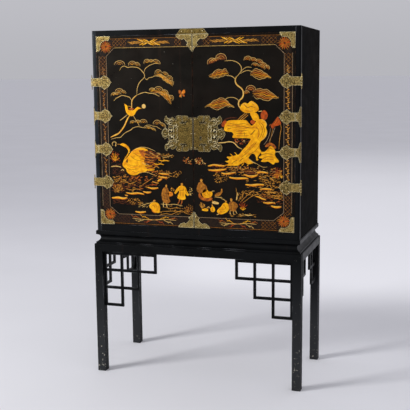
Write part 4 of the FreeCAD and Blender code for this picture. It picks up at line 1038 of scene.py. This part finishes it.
# Scattered flecks: door, finish, number, length, width, heading and spread in degrees, outline. Their
# lengths are those for a fleck setting of this many millimetres.
TABLED_FLECK = 5
SCATTER = """
left brown 46 11 2.2 172 22 -232,985 -236,1020 -224,1048 -196,1050 -168,1040 -160,1012 -176,984 -205,978
left foliage 30 8 2 8 25 -176,1000 -160,1046 -118,1052 -92,1046 -104,1032 -140,1024 -160,1000
left red 46 9 2.4 90 70 -402,1008 -402,1050 -385,1054 -362,1040 -352,1012 -372,1004
left gold 16 7 2.2 90 60 -394,1012 -390,1034 -370,1030 -366,1012
left brown 90 9 2.2 4 24 -400,946 -400,1004 -350,1000 -336,980 -330,950
left orange 44 11 3 10 24 -320,926 -316,941 -262,947 -226,942 -222,922 -262,912
left brown 100 10 2.4 6 26 -404,862 -404,908 -340,922 -250,916 -206,902 -230,880 -330,872
left brown 30 8 2.6 60 60 -402,868 -404,892 -372,906 -342,892 -336,872
left robe 40 8 2.2 30 50 -398,872 -396,900 -366,908 -338,888 -342,872
left foliage 60 6 2.4 0 30 -330,824 -312,842 -266,839 -246,822 -282,808 -302,812
left cream 34 5 2.2 12 24 -290,800 -250,822 -205,824 -190,808 -240,800
left foliage 44 6 2.4 12 30 -128,940 -126,958 -72,976 -52,966 -88,942
left foliage 40 7 2.2 5 24 -204,940 -206,974 -170,976 -118,972 -112,950 -160,936
left foliage 26 7 2 80 40 -48,780 -44,812 -24,822 -6,808 -8,780
left brown 16 7 2.6 60 60 -44,782 -40,806 -14,808 -12,784
left cream 12 5 3 30 60 -26,862 -24,898 -6,900 -8,866
left foliage 22 5 2.2 20 80 -116,878 -112,896 -96,898 -94,880
left orange 24 7 3 90 80 -50,1008 -44,1030 -22,1036 -5,1026 -5,1002 -30,1001
left cream 14 5 3.2 90 80 -50,1008 -44,1030 -22,1036 -5,1026 -5,1002 -30,1001
left foliage 70 8 2 2 20 -398,910 -398,940 -330,950 -322,922
left orange 34 13 2.4 2 12 -400,884 -398,930 -330,944 -250,910 -214,900 -240,884 -330,878
left foliage 44 13 2 2 12 -396,862 -396,902 -330,930 -240,914 -208,900 -250,876
left orange 34 10 2.4 2 16 -206,900 -206,972 -150,972 -120,952 -150,914
left brown 70 12 2.4 2 16 -400,812 -400,836 -320,838 -300,820 -270,812
left foliage 30 10 1.8 2 10 -168,772 -166,816 -60,818 -10,800 -10,774
right orange 60 12 2.4 2 12 66,976 70,1006 150,1008 240,998 300,992 300,966 230,960 160,962
right cream 40 9 2 4 20 150,984 160,1000 300,996 392,990 396,950 320,950 300,972 220,976
right foliage 50 11 2.4 4 16 156,960 160,996 300,1000 396,992 398,936 320,936 290,960
right foliage 40 10 2.4 4 20 232,876 240,896 300,898 400,898 402,862 330,872 270,868
right foliage 60 13 2 2 12 236,910 240,960 300,966 350,980 400,974 402,902 320,900
right brown 60 12 2.4 2 12 280,832 290,896 400,900 402,826 350,822
right orange 30 11 2.2 2 12 300,846 306,880 400,884 402,836 360,834
right foliage 30 10 1.8 2 10 160,776 160,790 280,792 290,776
right orange 34 7 3.2 90 80 5,1004 5,1026 30,1033 62,1008 34,1001
right cream 22 5 3.4 90 80 5,1004 5,1026 30,1033 62,1008 34,1001
right red 34 7 2.6 20 50 184,1098 186,1120 248,1120 254,1108 232,1094 206,1096
right cream 12 6 2.4 30 50 190,1098 192,1120 240,1116 230,1098
right foliage 70 6 2.4 8 40 90,958 100,968 166,963 176,950 150,936 112,923 94,934
right foliage 44 5 2.3 0 30 230,884 244,894 296,892 300,878 268,868 240,874
right brown 80 10 2.2 2 20 60,990 66,1012 150,1014 240,1000 340,1004 398,996 396,984 300,986 200,978
right foliage 50 8 2 4 22 150,976 156,1000 236,1004 290,996 286,980 220,972
right red 30 8 2.6 80 60 356,958 352,984 364,996 392,1000 402,982 398,956
right gold 26 8 2.4 70 50 360,950 362,966 400,970 402,952
right foliage 70 8 2.2 20 40 320,912 318,942 340,952 376,946 402,930 402,906
right foliage 54 8 2 8 26 300,872 302,900 400,900 402,868 360,862
right foliage 16 7 2.2 60 60 28,812 30,832 48,828 50,812
right foliage 20 9 2 80 24 206,842 204,876 230,890 236,850
"""

# Fans of grass: door, finish, width, foot, tips. The middle of a blade is bent outwards by this share of its
# spread, and lifted.
BLADE_BENT, BLADE_LIFTED = 0.12, 2
FANS = """
right red 3 226,812 210,836 218,844 228,846 238,840 248,832
right gold 3.4 227,806 214,818 222,822 234,822 242,816
right red 2.8 381,952 363,984 372,990 383,994 393,988 401,978
right foliage 2.4 38,806 26,826 34,834 44,832 52,824
left robe 2.4 -28,784 -42,806 -34,816 -24,814 -14,804
left gold 2.6 -382,1012 -400,1036 -390,1048 -378,1048 -366,1040 -356,1026
left foliage 2.6 -372,868 -398,892 -384,904 -368,906 -354,898 -342,888
"""

# Figures, in the order in which they are laid: door, part, then what the part needs. A limb has its finish,
# width and points, a robe or fold its finish and points, and a head its x, z, half width and half height.
FIGURES = """
left limb cream 4.6 -146,828 -147,816 -146,805
left limb cream 4.6 -132,824 -131,814 -128,805
left robe robe -151,838 -155,860 -152,880 -146,892 -138,899 -128,898 -122,888 -118,876 -117,860 -118,846
    -113,834 -122,824 -134,822 -145,828
left fold umber -148,878 -142,862 -142,838
left fold umber -130,890 -130,866 -124,838
left head -131,904,5,7
left robe amber -127,868 -124,876 -112,878 -101,873 -99,863 -108,857 -120,858
left fold brown -122,870 -112,870 -103,868
left limb orange 6 -68,846 -71,832 -77,824
left limb orange 6 -56,845 -58,830 -63,820
left robe gold -78,850 -75,864 -69,877 -71,884 -80,875 -88,868 -93,875 -84,889 -73,901 -61,908 -49,907
    -38,899 -34,886 -27,875 -23,867 -32,862 -38,871 -41,861 -38,849 -50,843 -65,844
left fold brown -68,898 -63,880 -66,856
left fold brown -50,900 -50,880 -50,856
left fold brown -72,888 -60,884 -46,888
left fold brown -40,892 -36,880 -31,868
left head -56,914,6.5,6.5
left limb amber 6 -204,796 -198,784 -184,779
left robe gold -216,806 -212,817 -200,826 -184,827 -170,821 -163,806 -164,790 -167,779 -182,779 -194,784
    -202,793 -211,798
left fold brown -206,806 -196,812 -186,802
left fold brown -182,818 -178,802 -176,786
left head -190,834,6.5,5
right robe orange 26,878 22,862 30,850 46,843 66,841 84,846 86,858 60,856 40,860
right robe robe 15,886 15,902 20,917 28,926 41,927 50,917 60,909 63,894 56,882 42,876 28,876
right fold umber 24,912 28,896 26,880
right fold umber 44,918 42,900 44,886
right fold umber 52,910 54,898 52,888
right head 36,934,7,7
right limb cream 3.4 84,885 90,888 96,887
right robe gold 38,872 42,888 54,897 64,893 70,885 84,885 88,874 81,861 65,855 47,857
right fold brown 46,876 56,866 72,864
right fold brown 54,890 62,882 66,874 76,872
right limb cream 3.6 169,804 168,794 172,785
right limb cream 3.6 184,802 184,792 187,784
right limb cream 3.6 193,804 197,796 200,790
right robe robe 160,822 164,836 174,844 188,842 200,835 205,823 198,812 193,801 178,800 167,806
right fold umber 170,836 176,822 174,808
right fold umber 186,838 188,822 184,808
right fold umber 194,832 200,824 200,818
right head 174,851,6,8
right limb cream 3.6 120,788 112,783 106,783
right robe gold 108,794 112,806 126,818 135,832 148,838 158,833 164,820 162,804 152,794 136,786 121,784
right fold brown 118,806 132,804 150,810
right fold brown 136,828 146,818 152,804
right fold brown 122,798 136,795 150,802
right head 150,843,5,5
right robe gold 78,798 77,808 84,818 93,817 99,807 98,797 88,792
right fold brown 84,812 88,805 86,797
right head 86,823,4,4.5
right robe gold 36,800 46,807 58,808 68,803 66,797 50,795
right fold brown 46,802 60,802
right head 66,812,4,4
right robe cream 84,834 94,842 106,840 117,836 114,829 100,829
right fold brown 94,836 108,834
right head 88,842,3.5,3.5
right robe robe 98,868 104,877 115,882 124,884 130,896 135,890 130,877 122,868 108,864
right fold umber 108,874 120,876
right head 131,896,3,4
"""
# Buds beside the figures: x, z, radius.
BUDS = ((-17, 868, 4), (-11, 894, 3.5), (-14, 882, 3))
# Relief of a robe, a head and a bud as shares of the full relief, and of a fold, of hair and of a limb as
# shares of a line's.
ROBE_PROUD, HEAD_PROUD, BUD_PROUD, FOLD_PROUD, LIMB_PROUD = 0.85, 0.9, 0.7, 0.6, 0.8
FOLD_WIDTH = 1.5


class Canvas:
    """One layer of relief for each finish on each door, made when something is first drawn on it."""

    # How far above the lacquer the middle of a leaf or a fleck lies, and how far a fleck stands off it.
    LAID, FLECK_PROUD = 0.1, 0.5

    def __init__(self, context):
        self.context, self.layers = context, {}

    def __call__(self, door, key):
        return self.layers.setdefault((door, key), Relief(DOOR_FACE))

    def grow(self, door, key, kind, places, laid=LAID, edges=(), faces=(), **values):
        """Draw what one of the trees makes of those places on a door."""
        carrier = [(x * MM, (DOOR_FACE - laid) * MM, z * MM) for x, z in places]
        self(door, key).absorb(grow(self.context, kind, carrier, edges, faces, key, **values))

    def leaves(self, door, key, points, count, length, width, spread, proud=0.6, ragged=0.25, seed=0):
        """Leaves along a line of points."""
        edges = [(i, i + 1) for i in range(len(points) - 1)]
        self.grow(door, key, "leaf_run", points, edges=edges, Leaves=count, Length=length * MM,
                  Width=width * MM, Thickness=2 * proud * MM, Spread=spread, Ragged=ragged, Seed=seed)

    def flecks(self, door, key, outline, number, length, width, heading, spread, seed):
        """About that many flecks within an outline, their heading and its spread in degrees."""
        ground = abs(area([(x * MM, z * MM) for x, z in outline]))
        self.grow(door, key, "flecks", outline, faces=[tuple(range(len(outline)))], Density=number / ground,
                  Length=length * MM, Width=width * MM, Thickness=2 * self.FLECK_PROUD * MM,
                  Heading=math.radians(heading), Spread=math.radians(spread), Seed=seed)

    def hang(self, name):
        """Turn every layer into a piece of its door."""
        for (door, key), layer in self.layers.items():
            layer.piece(self.context, f"{door}_{name}_{key}", f"{door}_door", "black_lacquer", key)


# Gilded strokes of the landscape narrow over a long run to fine ends.
FINE_ENDS = {"taper": 0.12, "run": 0.42}
# The shade and the light on each of them: finish, shift upwards and width as shares of its own width, and
# relief as a share of a line's.
GILDED_SHADES = (("amber", -0.34, 0.8, 0.8), ("cream", 0.2, 0.3, 1.4))


def drawn_share(group, door, key):
    """How much of its tabled width a stroke is drawn with."""
    if group == "trees":
        return 0.66 if key == "cream" else 0.85
    return 1.4 if door == "right" and key in ("brown", "orange") else 1.0


def draw_tables(canvas, size, group):
    """Lay the filled shapes of one group, then its strokes, each on top of what lies under its middle."""
    proud, line = size.proud / MM, size.line_proud / MM
    laid = []
    for door, key, share, *words in rows(MASSES[group]):
        outline, high = spots(words), proud * float(share)
        canvas(door, key).mass(outline, high)
        laid.append((door, outline, high))
    for door, key, width, *words in rows(STROKES[group]):
        points, width = spots(words), float(width)
        middle = points[len(points) // 2]
        under = max([high for where, outline, high in laid if where == door and inside(middle, outline)],
                    default=0.0)
        ends = FINE_ENDS if group == "landscape" and key == "gold" else {}
        canvas(door, key).stroke(points, drawn_share(group, door, key) * width, line + under, **ends)
        if group == "trees" and key == "gold" and width >= 6:
            # Thick gilded boughs have a pale light along their upper left side, narrower on the thickest.
            lit = [(x - 0.08 * width, z + 0.05 * width) for x, z in points]
            shine = 0.4 if width > 8.2 else 0.66
            canvas(door, "cream").stroke(lit, shine * width, 1.8 * line + under)


def draw_spray(canvas, size, door, start, end, z, key):
    """A spray that runs both ways from its middle: loose and forked if pale, and close-leaved if not."""
    line, leaf = size.line_proud / MM, size.leaf_length / MM
    middle, reach = (start + end) / 2, (end - start) / 2
    for way in (-1, 1):
        span = way * reach
        stem = [(middle, z), (middle + span * 0.5, z + way * 2), (middle + span, z)]
        canvas(door, "foliage").stroke(stem, STEM_WIDTH, line)
        if key == "cream":
            canvas(door, key).stroke([(middle, z - 3), *stem[1:]], TWIG_WIDTH, 1.2 * line)
            for k, (share, tone) in enumerate(TWIGS):
                lean = 1 if k % 2 else -1
                twig = [(middle + span * share, z), (middle + span * (share + 0.16), z + lean * 8),
                        (middle + span * (share + 0.34), z + lean * (15 - 9 * share))]
                canvas(door, tone).stroke(twig, TWIG_WIDTH, line)
                canvas.leaves(door, tone, twig[1:], 3, 13, 2.4, 0.5, seed=size.seed + k)
        else:
            inner = [(middle - way * 6, z), (middle + span * 0.24, z + 1)]
            outer = [(middle + span * 0.36, z + 1), (middle + span * 0.82, z)]
            canvas.leaves(door, key, inner, 5, leaf * 1.7, 4.2, 0.42, ragged=0.2, seed=size.seed)
            canvas.leaves(door, "cream", inner, 3, leaf * 1.2, 3.2, 0.58, seed=size.seed + 1)
            canvas.leaves(door, "foliage", outer, 7, leaf * 1.3, 3.0, 0.24, seed=size.seed + 2)


def draw_chain(canvas, size, door, low, high):
    """A waving chain of leaves up the side border, browner and thinner on the left door."""
    x, tall = DOORS[door] * CHAIN_X, high - low
    key, apart, width = ("robe", 9.0, 3.0) if door == "left" else ("foliage", 6.0, 4.0)
    wave = [(x + 4 * math.sin(k * 1.6), low + tall * k / 12) for k in range(13)]
    canvas(door, key).stroke(wave, STEM_WIDTH, size.line_proud / MM)
    canvas.leaves(door, key, wave, max(4, int(tall / apart)), 11, width, 0.9, seed=size.seed)
    canvas.leaves(door, "line", wave[2:-2], max(3, int(tall / 22)), 8, 3.4, 0.5, seed=size.seed)


def draw_star(canvas, size, door, z):
    """A corner star: pointed leaves, long and short by turns, round a boss."""
    middle = DOORS[door] * STAR_X
    for k in range(STAR_LEAVES):
        way, odd = k * 2 * math.pi / STAR_LEAVES + 0.2, k % 2
        ray = [(middle + r * math.cos(way), z + r * math.sin(way)) for r in (3, 4)]
        key = "robe" if odd else ("red", "orange")[k // 2 % 2]
        canvas.leaves(door, key, ray, 2, STAR_LENGTH + STAR_LONGER * odd, 4.0 - odd, 0.16,
                      proud=0.6 + 0.2 * odd, ragged=0.2, seed=size.seed + k)
    canvas(door, "brown").mass(ellipse(middle, z, STAR_BOSS, STAR_BOSS, count=10), STAR_BOSS_PROUD)


def draw_lobe(canvas, size, door, place, high):
    """A small domed pad of foliage with lit rim, seen from below its branch; high is its relief."""
    line = size.line_proud / MM
    x, z, rx, rz, turn = place
    ground, heart = ("umber", "gold") if door == "left" else ("brown", "amber")
    dome = ellipse(x, z, rx, rz, turn, -8, 188, 9) + ellipse(x, z, rx * 0.9, rz * 0.16, turn, 190, 350, 5)
    canvas(door, ground).mass(dome, high)
    canvas(door, "cream").stroke(ellipse(x, z, rx - 1, rz - 1, turn, -4, 184, 9), 2.3, high + line)
    middle = ellipse(x, z, rx * 0.56, rz * 0.54, turn, 5, 175, 7)
    canvas(door, "foliage").stroke(middle, 2.8, high + 0.8 * line)
    canvas(door, heart).stroke(ellipse(x, z, rx * 0.24, rz * 0.16, turn, 10, 170, 5), 2.6, high + 0.8 * line)


def draw_feather(canvas, size, door, count, words):
    """A long pad of foliage, ruled from its upper edge to its lower one with wavy lines."""
    proud, line, cut = size.proud / MM, size.line_proud / MM, words.index("/")
    upper, lower = (spaced(smooth(spots(edge)), 15) for edge in (words[:cut], words[cut + 1:]))
    # The pad stops short of its lower line, so that black shows between them.
    foot = [between(a, b, 0.82) for a, b in zip(upper, lower)]
    canvas(door, "brown").mass(upper + foot[-2:0:-1], 0.3 * proud)
    for row in range(count + 1):
        edge = row in (0, count)
        skip = 0 if edge else row % 3
        across = [between(a, b, row / count) for a, b in zip(upper, lower)]
        wave = [(x, z + 1.4 * math.sin(1.9 * i + row)) for i, (x, z) in enumerate(across)]
        key = "cream" if edge else ("gold", "foliage", "amber")[row % 3]
        width = (2.3 if edge else 3.3) - (0.5 if door == "left" else 0.0)
        canvas(door, key).stroke(wave[skip:len(wave) - skip], width, 0.3 * proud + line, taper=0.2, run=0.3)


# ---------------------------------------------------------------- operators

# Parts whose finish differs from the rest of their slot.
VARIANTS = {
    "side": "left_side right_side top_board",
    # The left stile carries a painted blue-grey reflection.
    "stile_with_painted_reflection": "left_stile",
    "lock": "left_lock_plate right_lock_plate rail_mount",
    "moulding": "right_stile top_rail bottom_rail front_rail back_rail left_rail right_rail front_bead"
                " left_bead right_bead plinth_front plinth_back plinth_left plinth_right front_left_fret"
                " front_right_fret left_front_fret left_back_fret right_front_fret right_back_fret",
    "stand": "front_left_leg front_right_leg back_left_leg back_right_leg",
}
FINISH_OF_SLOT = {"black_lacquer": "black", "inside_lacquer": "inside", "plain_wood": "wood",
                  "engraved_brass": "brass", "dark_iron": "iron"}


def dress(context, slots):
    """Give the frame's own parts in those slots their finish."""
    done = [part for part in frame["record"]["subparts"] if part["material_slot"] in slots]
    for part in done:
        own = [key for key, nodes in VARIANTS.items() if part["node"] in nodes.split()]
        surface = frame["nodes"][part["node"]].data.materials
        surface.clear()
        surface.append(finish(context, own[0] if own else FINISH_OF_SLOT[part["material_slot"]]))
    if not done:
        raise RuntimeError("no part uses the slots " + ", ".join(slots))


class CabinetOperator:
    """What all the steps share."""
    bl_options = {"REGISTER", "UNDO"}


class CABINET_OT_lacquer(CabinetOperator, bpy.types.Operator):
    """Finish the case, doors, stand and shelves in japan lacquer"""
    bl_idname = "cabinet.lacquer"
    bl_label = "Lacquer"

    def execute(self, context):
        dress(context, ("black_lacquer", "inside_lacquer"))
        return {"FINISHED"}


class CABINET_OT_woodwork(CabinetOperator, bpy.types.Operator):
    """Leave the back boards and battens bare, and blacken the rail and plinth at the back"""
    bl_idname = "cabinet.woodwork"
    bl_label = "Woodwork at the back"

    def execute(self, context):
        dress(context, ("plain_wood",))
        return {"FINISHED"}


class CABINET_OT_metalwork(CabinetOperator, bpy.types.Operator):
    """Finish the engraved brass mounts, the nails, the lock and the bolts"""
    bl_idname = "cabinet.metalwork"
    bl_label = "Metalwork"

    def execute(self, context):
        dress(context, ("engraved_brass", "dark_iron"))
        return {"FINISHED"}


class CABINET_OT_engraving(CabinetOperator, bpy.types.Operator):
    """Cut the scroll borders of the lock plate and the rings and rays of the hinge plates"""
    bl_idname = "cabinet.engraving"
    bl_label = "Engraving"

    def execute(self, context):
        cut = context.scene.cabinet_relief.engraved_line / MM
        low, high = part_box("right_lock_plate")
        left, across = low.x / MM, (high.x - low.x) / MM
        centre, half = (low.z + high.z) / (2 * MM), (high.z - low.z) / (2 * MM)
        for door, side in DOORS.items():
            dark, bright, joint = Relief(MOUNT_FACE), Relief(MOUNT_FACE), Relief(MOUNT_FACE)
            for share, *words in rows(LOCK_SCROLLS):
                share = float(share)
                for way in (-1, 1):
                    line = [(side * (left + a * across), centre + way * b * half) for a, b in spots(words)]
                    dark.stroke(line, cut * share, CUT_PROUD)
                    if RIDGED[0] < share < RIDGED[1]:
                        # The ridge runs along the cut's upper left side, painted pale as a highlight of
                        # light from the upper left.
                        apart = 0.6 * cut * share + 0.4
                        beside = [(x - apart, z + apart) for x, z in line]
                        bright.stroke(beside, RIDGE_SHARE * cut * share, RIDGE_PROUD)
            for way in (-1, 1):
                x, z = side * (left + ROSETTE_X * across), centre + way * ROSETTE_Z * half
                dark.mass(ellipse(x, z, HOLLOW_RADIUS, HOLLOW_RADIUS), HOLLOW_PROUD)
                # The boss is painted pale as a highlight, set a little up and to the left.
                bright.mass(ellipse(x - 1, z + 1, BOSS_RADIUS, BOSS_RADIUS), BOSS_PROUD)
            # A dark line is drawn along the joint between the halves of the plate.
            seam = [(side * (left + JOINT_X), centre + way * JOINT_REACH * half) for way in (-1, 0, 1)]
            joint.stroke(seam, JOINT_WIDTH, CUT_PROUD, taper=1.0)
            for z in PLATE_HEIGHTS:
                for radius, share in PLATE_RINGS:
                    ring = ellipse(side * PLATE_X, z, radius, radius, count=24)
                    dark.stroke(ring + ring[:1], cut * share, CUT_PROUD, taper=1.0)
                for k in range(RAYS):
                    ways = [(r, (k + 0.5) * 2 * math.pi / RAYS + RAY_CURL * r) for r in RAY_RADII]
                    ray = [(side * PLATE_X + r * math.cos(way), z + r * math.sin(way)) for r, way in ways]
                    dark.stroke(ray, cut, CUT_PROUD)
            for layer, key in ((dark, "cut"), (bright, "ridge"), (joint, "umber")):
                layer.piece(context, f"{door}_mount_{key}", f"{door}_door", "engraved_brass", key)
        return {"FINISHED"}


class CABINET_OT_borders(CabinetOperator, bpy.types.Operator):
    """Lay the framing lines, trellis panels, sprays, leaf chains and corner stars round both doors"""
    bl_idname = "cabinet.borders"
    bl_label = "Borders"

    def execute(self, context):
        size, canvas = context.scene.cabinet_relief, Canvas(context)
        for door, side in DOORS.items():
            for key, *words in rows(BORDER_LINES):
                edge = [(side * x, z) for x, z in spots(words)]
                canvas(door, key).stroke(edge, size.border_line / MM, size.line_proud / MM, taper=0.9)
            for near, far, low, high in BANDS:
                corners = [(side * x, z) for x, z in ((near, low), (far, low), (far, high), (near, high))]
                canvas(door, "umber").mass(corners[::side], BAND_PROUD)
            for x, z, across, high in TRELLIS:
                key = "brown" if door == "left" and z < BROWNER_BELOW else "robe"
                canvas.grow(door, key, "trellis", [(side * x, z)], laid=0.05, Width=across * MM,
                            Height=high * MM, Pitch=size.trellis_pitch, Bar=size.trellis_bar,
                            Thickness=2 * size.line_proud)
            for spray in SPRAYS[door]:
                draw_spray(canvas, size, door, *spray)
            for chain in CHAINS:
                draw_chain(canvas, size, door, *chain)
            for z in STAR_HEIGHTS:
                draw_star(canvas, size, door, z)
        canvas.hang("border")
        return {"FINISHED"}


class CABINET_OT_trees(CabinetOperator, bpy.types.Operator):
    """Paint the two gilded trees with their pads of foliage, flowers and insect"""
    bl_idname = "cabinet.trees"
    bl_label = "Trees"

    def execute(self, context):
        size, canvas = context.scene.cabinet_relief, Canvas(context)
        draw_tables(canvas, size, "trees")
        for door, *words in rows(LOBES):
            for k, lobe in enumerate(spots(words)):
                # Each lobe of a pad lies on the one before.
                draw_lobe(canvas, size, door, lobe, (0.25 + 0.12 * k) * size.proud / MM)
        for door, count, *words in rows(FEATHERS):
            draw_feather(canvas, size, door, int(count), words)
        canvas.hang("tree")
        return {"FINISHED"}


class CABINET_OT_birds(CabinetOperator, bpy.types.Operator):
    """Paint the great gilded crane on the left door and the gilded rock with its red flowers on the right"""
    bl_idname = "cabinet.birds"
    bl_label = "Crane and rock"

    def execute(self, context):
        canvas = Canvas(context)
        draw_tables(canvas, context.scene.cabinet_relief, "birds")
        canvas.hang("bird")
        return {"FINISHED"}


class CABINET_OT_landscape(CabinetOperator, bpy.types.Operator):
    """Paint the islets, reeds, shrubs and grasses along the foot of both doors"""
    bl_idname = "cabinet.landscape"
    bl_label = "Islets and reeds"

    def execute(self, context):
        size, canvas = context.scene.cabinet_relief, Canvas(context)
        line, fleck = size.line_proud / MM, size.fleck_length / (TABLED_FLECK * MM)
        draw_tables(canvas, size, "landscape")
        for door, key, width, *words in rows(STROKES["landscape"]):
            if key == "gold":
                width = float(width)
                for shade, shift, share, high in GILDED_SHADES:
                    shifted = [(x + 2, z + shift * width) for x, z in spots(words)]
                    canvas(door, shade).stroke(shifted, width * share, line * high, **FINE_ENDS)
        for k, row in enumerate(rows(SCATTER)):
            door, key, outline = row[0], row[1], spots(row[7:])
            number, length, width, heading, spread = (float(word) for word in row[2:7])
            canvas.flecks(door, key, outline, number, length * fleck, width, heading, spread, size.seed + k)
        for door, key, width, *words in rows(FANS):
            foot, *tips = spots(words)
            for tip in tips:
                middle = ((foot[0] + tip[0]) / 2 + (tip[0] - foot[0]) * BLADE_BENT,
                          (foot[1] + tip[1]) / 2 + BLADE_LIFTED)
                canvas(door, key).stroke([foot, middle, tip], float(width), line, taper=0.2)
        canvas.hang("landscape")
        return {"FINISHED"}


class CABINET_OT_figures(CabinetOperator, bpy.types.Operator):
    """Paint the small robed figures with plain faces, and the animals beside them"""
    bl_idname = "cabinet.figures"
    bl_label = "Figures"

    def execute(self, context):
        size, canvas = context.scene.cabinet_relief, Canvas(context)
        proud, line = size.proud / MM, size.line_proud / MM
        for door, part, *words in rows(FIGURES):
            if part == "limb":
                key, width, *words = words
                canvas(door, key).stroke(spots(words), float(width), LIMB_PROUD * line, taper=0.7)
            elif part == "robe":
                canvas(door, words[0]).mass(spots(words[1:]), ROBE_PROUD * proud)
            elif part == "fold":
                high = ROBE_PROUD * proud + FOLD_PROUD * line
                canvas(door, words[0]).stroke(spots(words[1:]), FOLD_WIDTH, high)
            else:
                x, z, rx, rz = spots(words)[0]
                hair = ellipse(x, z + 0.3 * rz, 0.8 * rx, 0.62 * rz, 0, 10, 170, 6)
                canvas(door, "foliage").mass(ellipse(x, z, 0.9 * rx, rz, count=10), HEAD_PROUD * proud)
                canvas(door, "brown").stroke(hair, 0.34 * rx, HEAD_PROUD * proud + FOLD_PROUD * line)
        for x, z, radius in BUDS:
            canvas("left", "cream").mass(ellipse(x, z, radius, 0.8 * radius, count=8), BUD_PROUD * proud)
        canvas.hang("figure")
        return {"FINISHED"}


# Soft lights: name, which setting gives the power, place, the point that it faces, size. All in metres.
LAMPS = (
    ("key_light", "key", (-3.6, -3.1, 2.3), (0.0, 0.0, 0.9), 1.3),
    ("fill_light", "fill", (1.2, -4.6, 3.2), (0.0, 0.0, 1.0), 2.4),
)
# The floor: its radius and its drop below the feet, which keeps them clear of it.
FLOOR_RADIUS, FLOOR_DROP = 600, 0.0005
# The camera: its place in metres, turn in radians, and lens and sensor in millimetres.
CAMERA_PLACE = (1.16878, -3.71404, 1.39544)
YAW, PITCH, ROLL = -0.309905, 0.154986, -0.009791
LENS, SENSOR = 72.73, 36.0


class CABINET_OT_studio(CabinetOperator, bpy.types.Operator):
    """Set the pale paper floor, the soft lights and the camera"""
    bl_idname = "cabinet.studio"
    bl_label = "Studio"

    def execute(self, context):
        scene, studio = context.scene, context.scene.cabinet_studio
        paper = bpy.data.meshes.new("studio_floor")
        rim = ellipse(0, 0, FLOOR_RADIUS, FLOOR_RADIUS, count=64)
        paper.from_pydata([(x, y, -FLOOR_DROP) for x, y in rim], [], [tuple(range(64))])
        paper.materials.append(studio_paper(studio.floor))
        floor = put(context, "studio_floor", paper)
        for name, power, place, aim, size in LAMPS:
            lamp = bpy.data.lights.new(name, "AREA")
            lamp.energy, lamp.size = getattr(studio, power), size
            way = Vector(aim) - Vector(place)
            turn = way.to_track_quat("-Z", "Y").to_matrix().to_4x4()
            put(context, name, lamp).matrix_world = Matrix.Translation(place) @ turn
        world = bpy.data.worlds.new("studio_surround")
        world.use_nodes = True
        tree = world.node_tree
        # The surround meets the far floor at the floor's own tone and is a little lighter above it.
        sky = add(tree, "ShaderNodeSeparateXYZ", {0: add(tree, "ShaderNodeTexCoord").outputs["Generated"]})
        rise = add(tree, RANGE, {"Value": sky.outputs["Z"], "From Min": 0.0, "From Max": 0.12},
                   interpolation_type="SMOOTHSTEP")
        tone = add(tree, MIX, {0: rise, 6: share_of(studio.surround, 0.9), 7: studio.surround},
                   data_type="RGBA")
        feed(tree, tree.nodes["Background"], {"Color": tone, "Strength": 1.0})
        scene.world = world
        scene.view_settings.view_transform = "Standard"
        ahead = Vector((math.sin(YAW) * math.cos(PITCH), math.cos(YAW) * math.cos(PITCH), -math.sin(PITCH)))
        across = ahead.cross(Vector((0, 0, 1))).normalized()
        above = across.cross(ahead)
        right = math.cos(ROLL) * across + math.sin(ROLL) * above
        upward = -math.sin(ROLL) * across + math.cos(ROLL) * above
        lens = bpy.data.cameras.new("studio_camera")
        lens.lens, lens.sensor_width = LENS, SENSOR
        camera = put(context, "studio_camera", lens)
        turn = Matrix((right, upward, -ahead)).transposed().to_4x4()
        camera.matrix_world = Matrix.Translation(CAMERA_PLACE) @ turn
        scene.camera = camera
        return {"FINISHED"}


class CABINET_PT_steps(bpy.types.Panel):
    """The steps that finish the cabinet, with their settings"""
    bl_label = "Cabinet on Stand"
    bl_idname = "CABINET_PT_steps"
    bl_space_type = "VIEW_3D"
    bl_region_type = "UI"
    bl_category = "Cabinet"

    def draw(self, context):
        for step in STEPS:
            self.layout.operator(step.bl_idname)
        for name in SETTINGS:
            group = getattr(context.scene, name)
            box = self.layout.box()
            for setting in group.bl_rna.properties.keys():
                if setting not in ("rna_type", "name"):
                    box.prop(group, setting)


SETTINGS = {"cabinet_colours": CabinetColours, "cabinet_relief": CabinetRelief,
            "cabinet_studio": CabinetStudio}
STEPS = (CABINET_OT_studio, CABINET_OT_lacquer, CABINET_OT_woodwork, CABINET_OT_metalwork,
         CABINET_OT_engraving, CABINET_OT_borders, CABINET_OT_trees, CABINET_OT_birds,
         CABINET_OT_landscape, CABINET_OT_figures)


def register():
    for kind in (*SETTINGS.values(), *STEPS, CABINET_PT_steps):
        bpy.utils.register_class(kind)
    for name, kind in SETTINGS.items():
        setattr(bpy.types.Scene, name, PointerProperty(type=kind))


def unregister():
    for name in SETTINGS:
        delattr(bpy.types.Scene, name)
    for kind in (CABINET_PT_steps, *reversed(STEPS), *SETTINGS.values()):
        bpy.utils.unregister_class(kind)


def main():
    register()
    for step in STEPS:
        category, name = step.bl_idname.split(".")
        getattr(getattr(bpy.ops, category), name)()


if __name__ == "__main__":
    main()
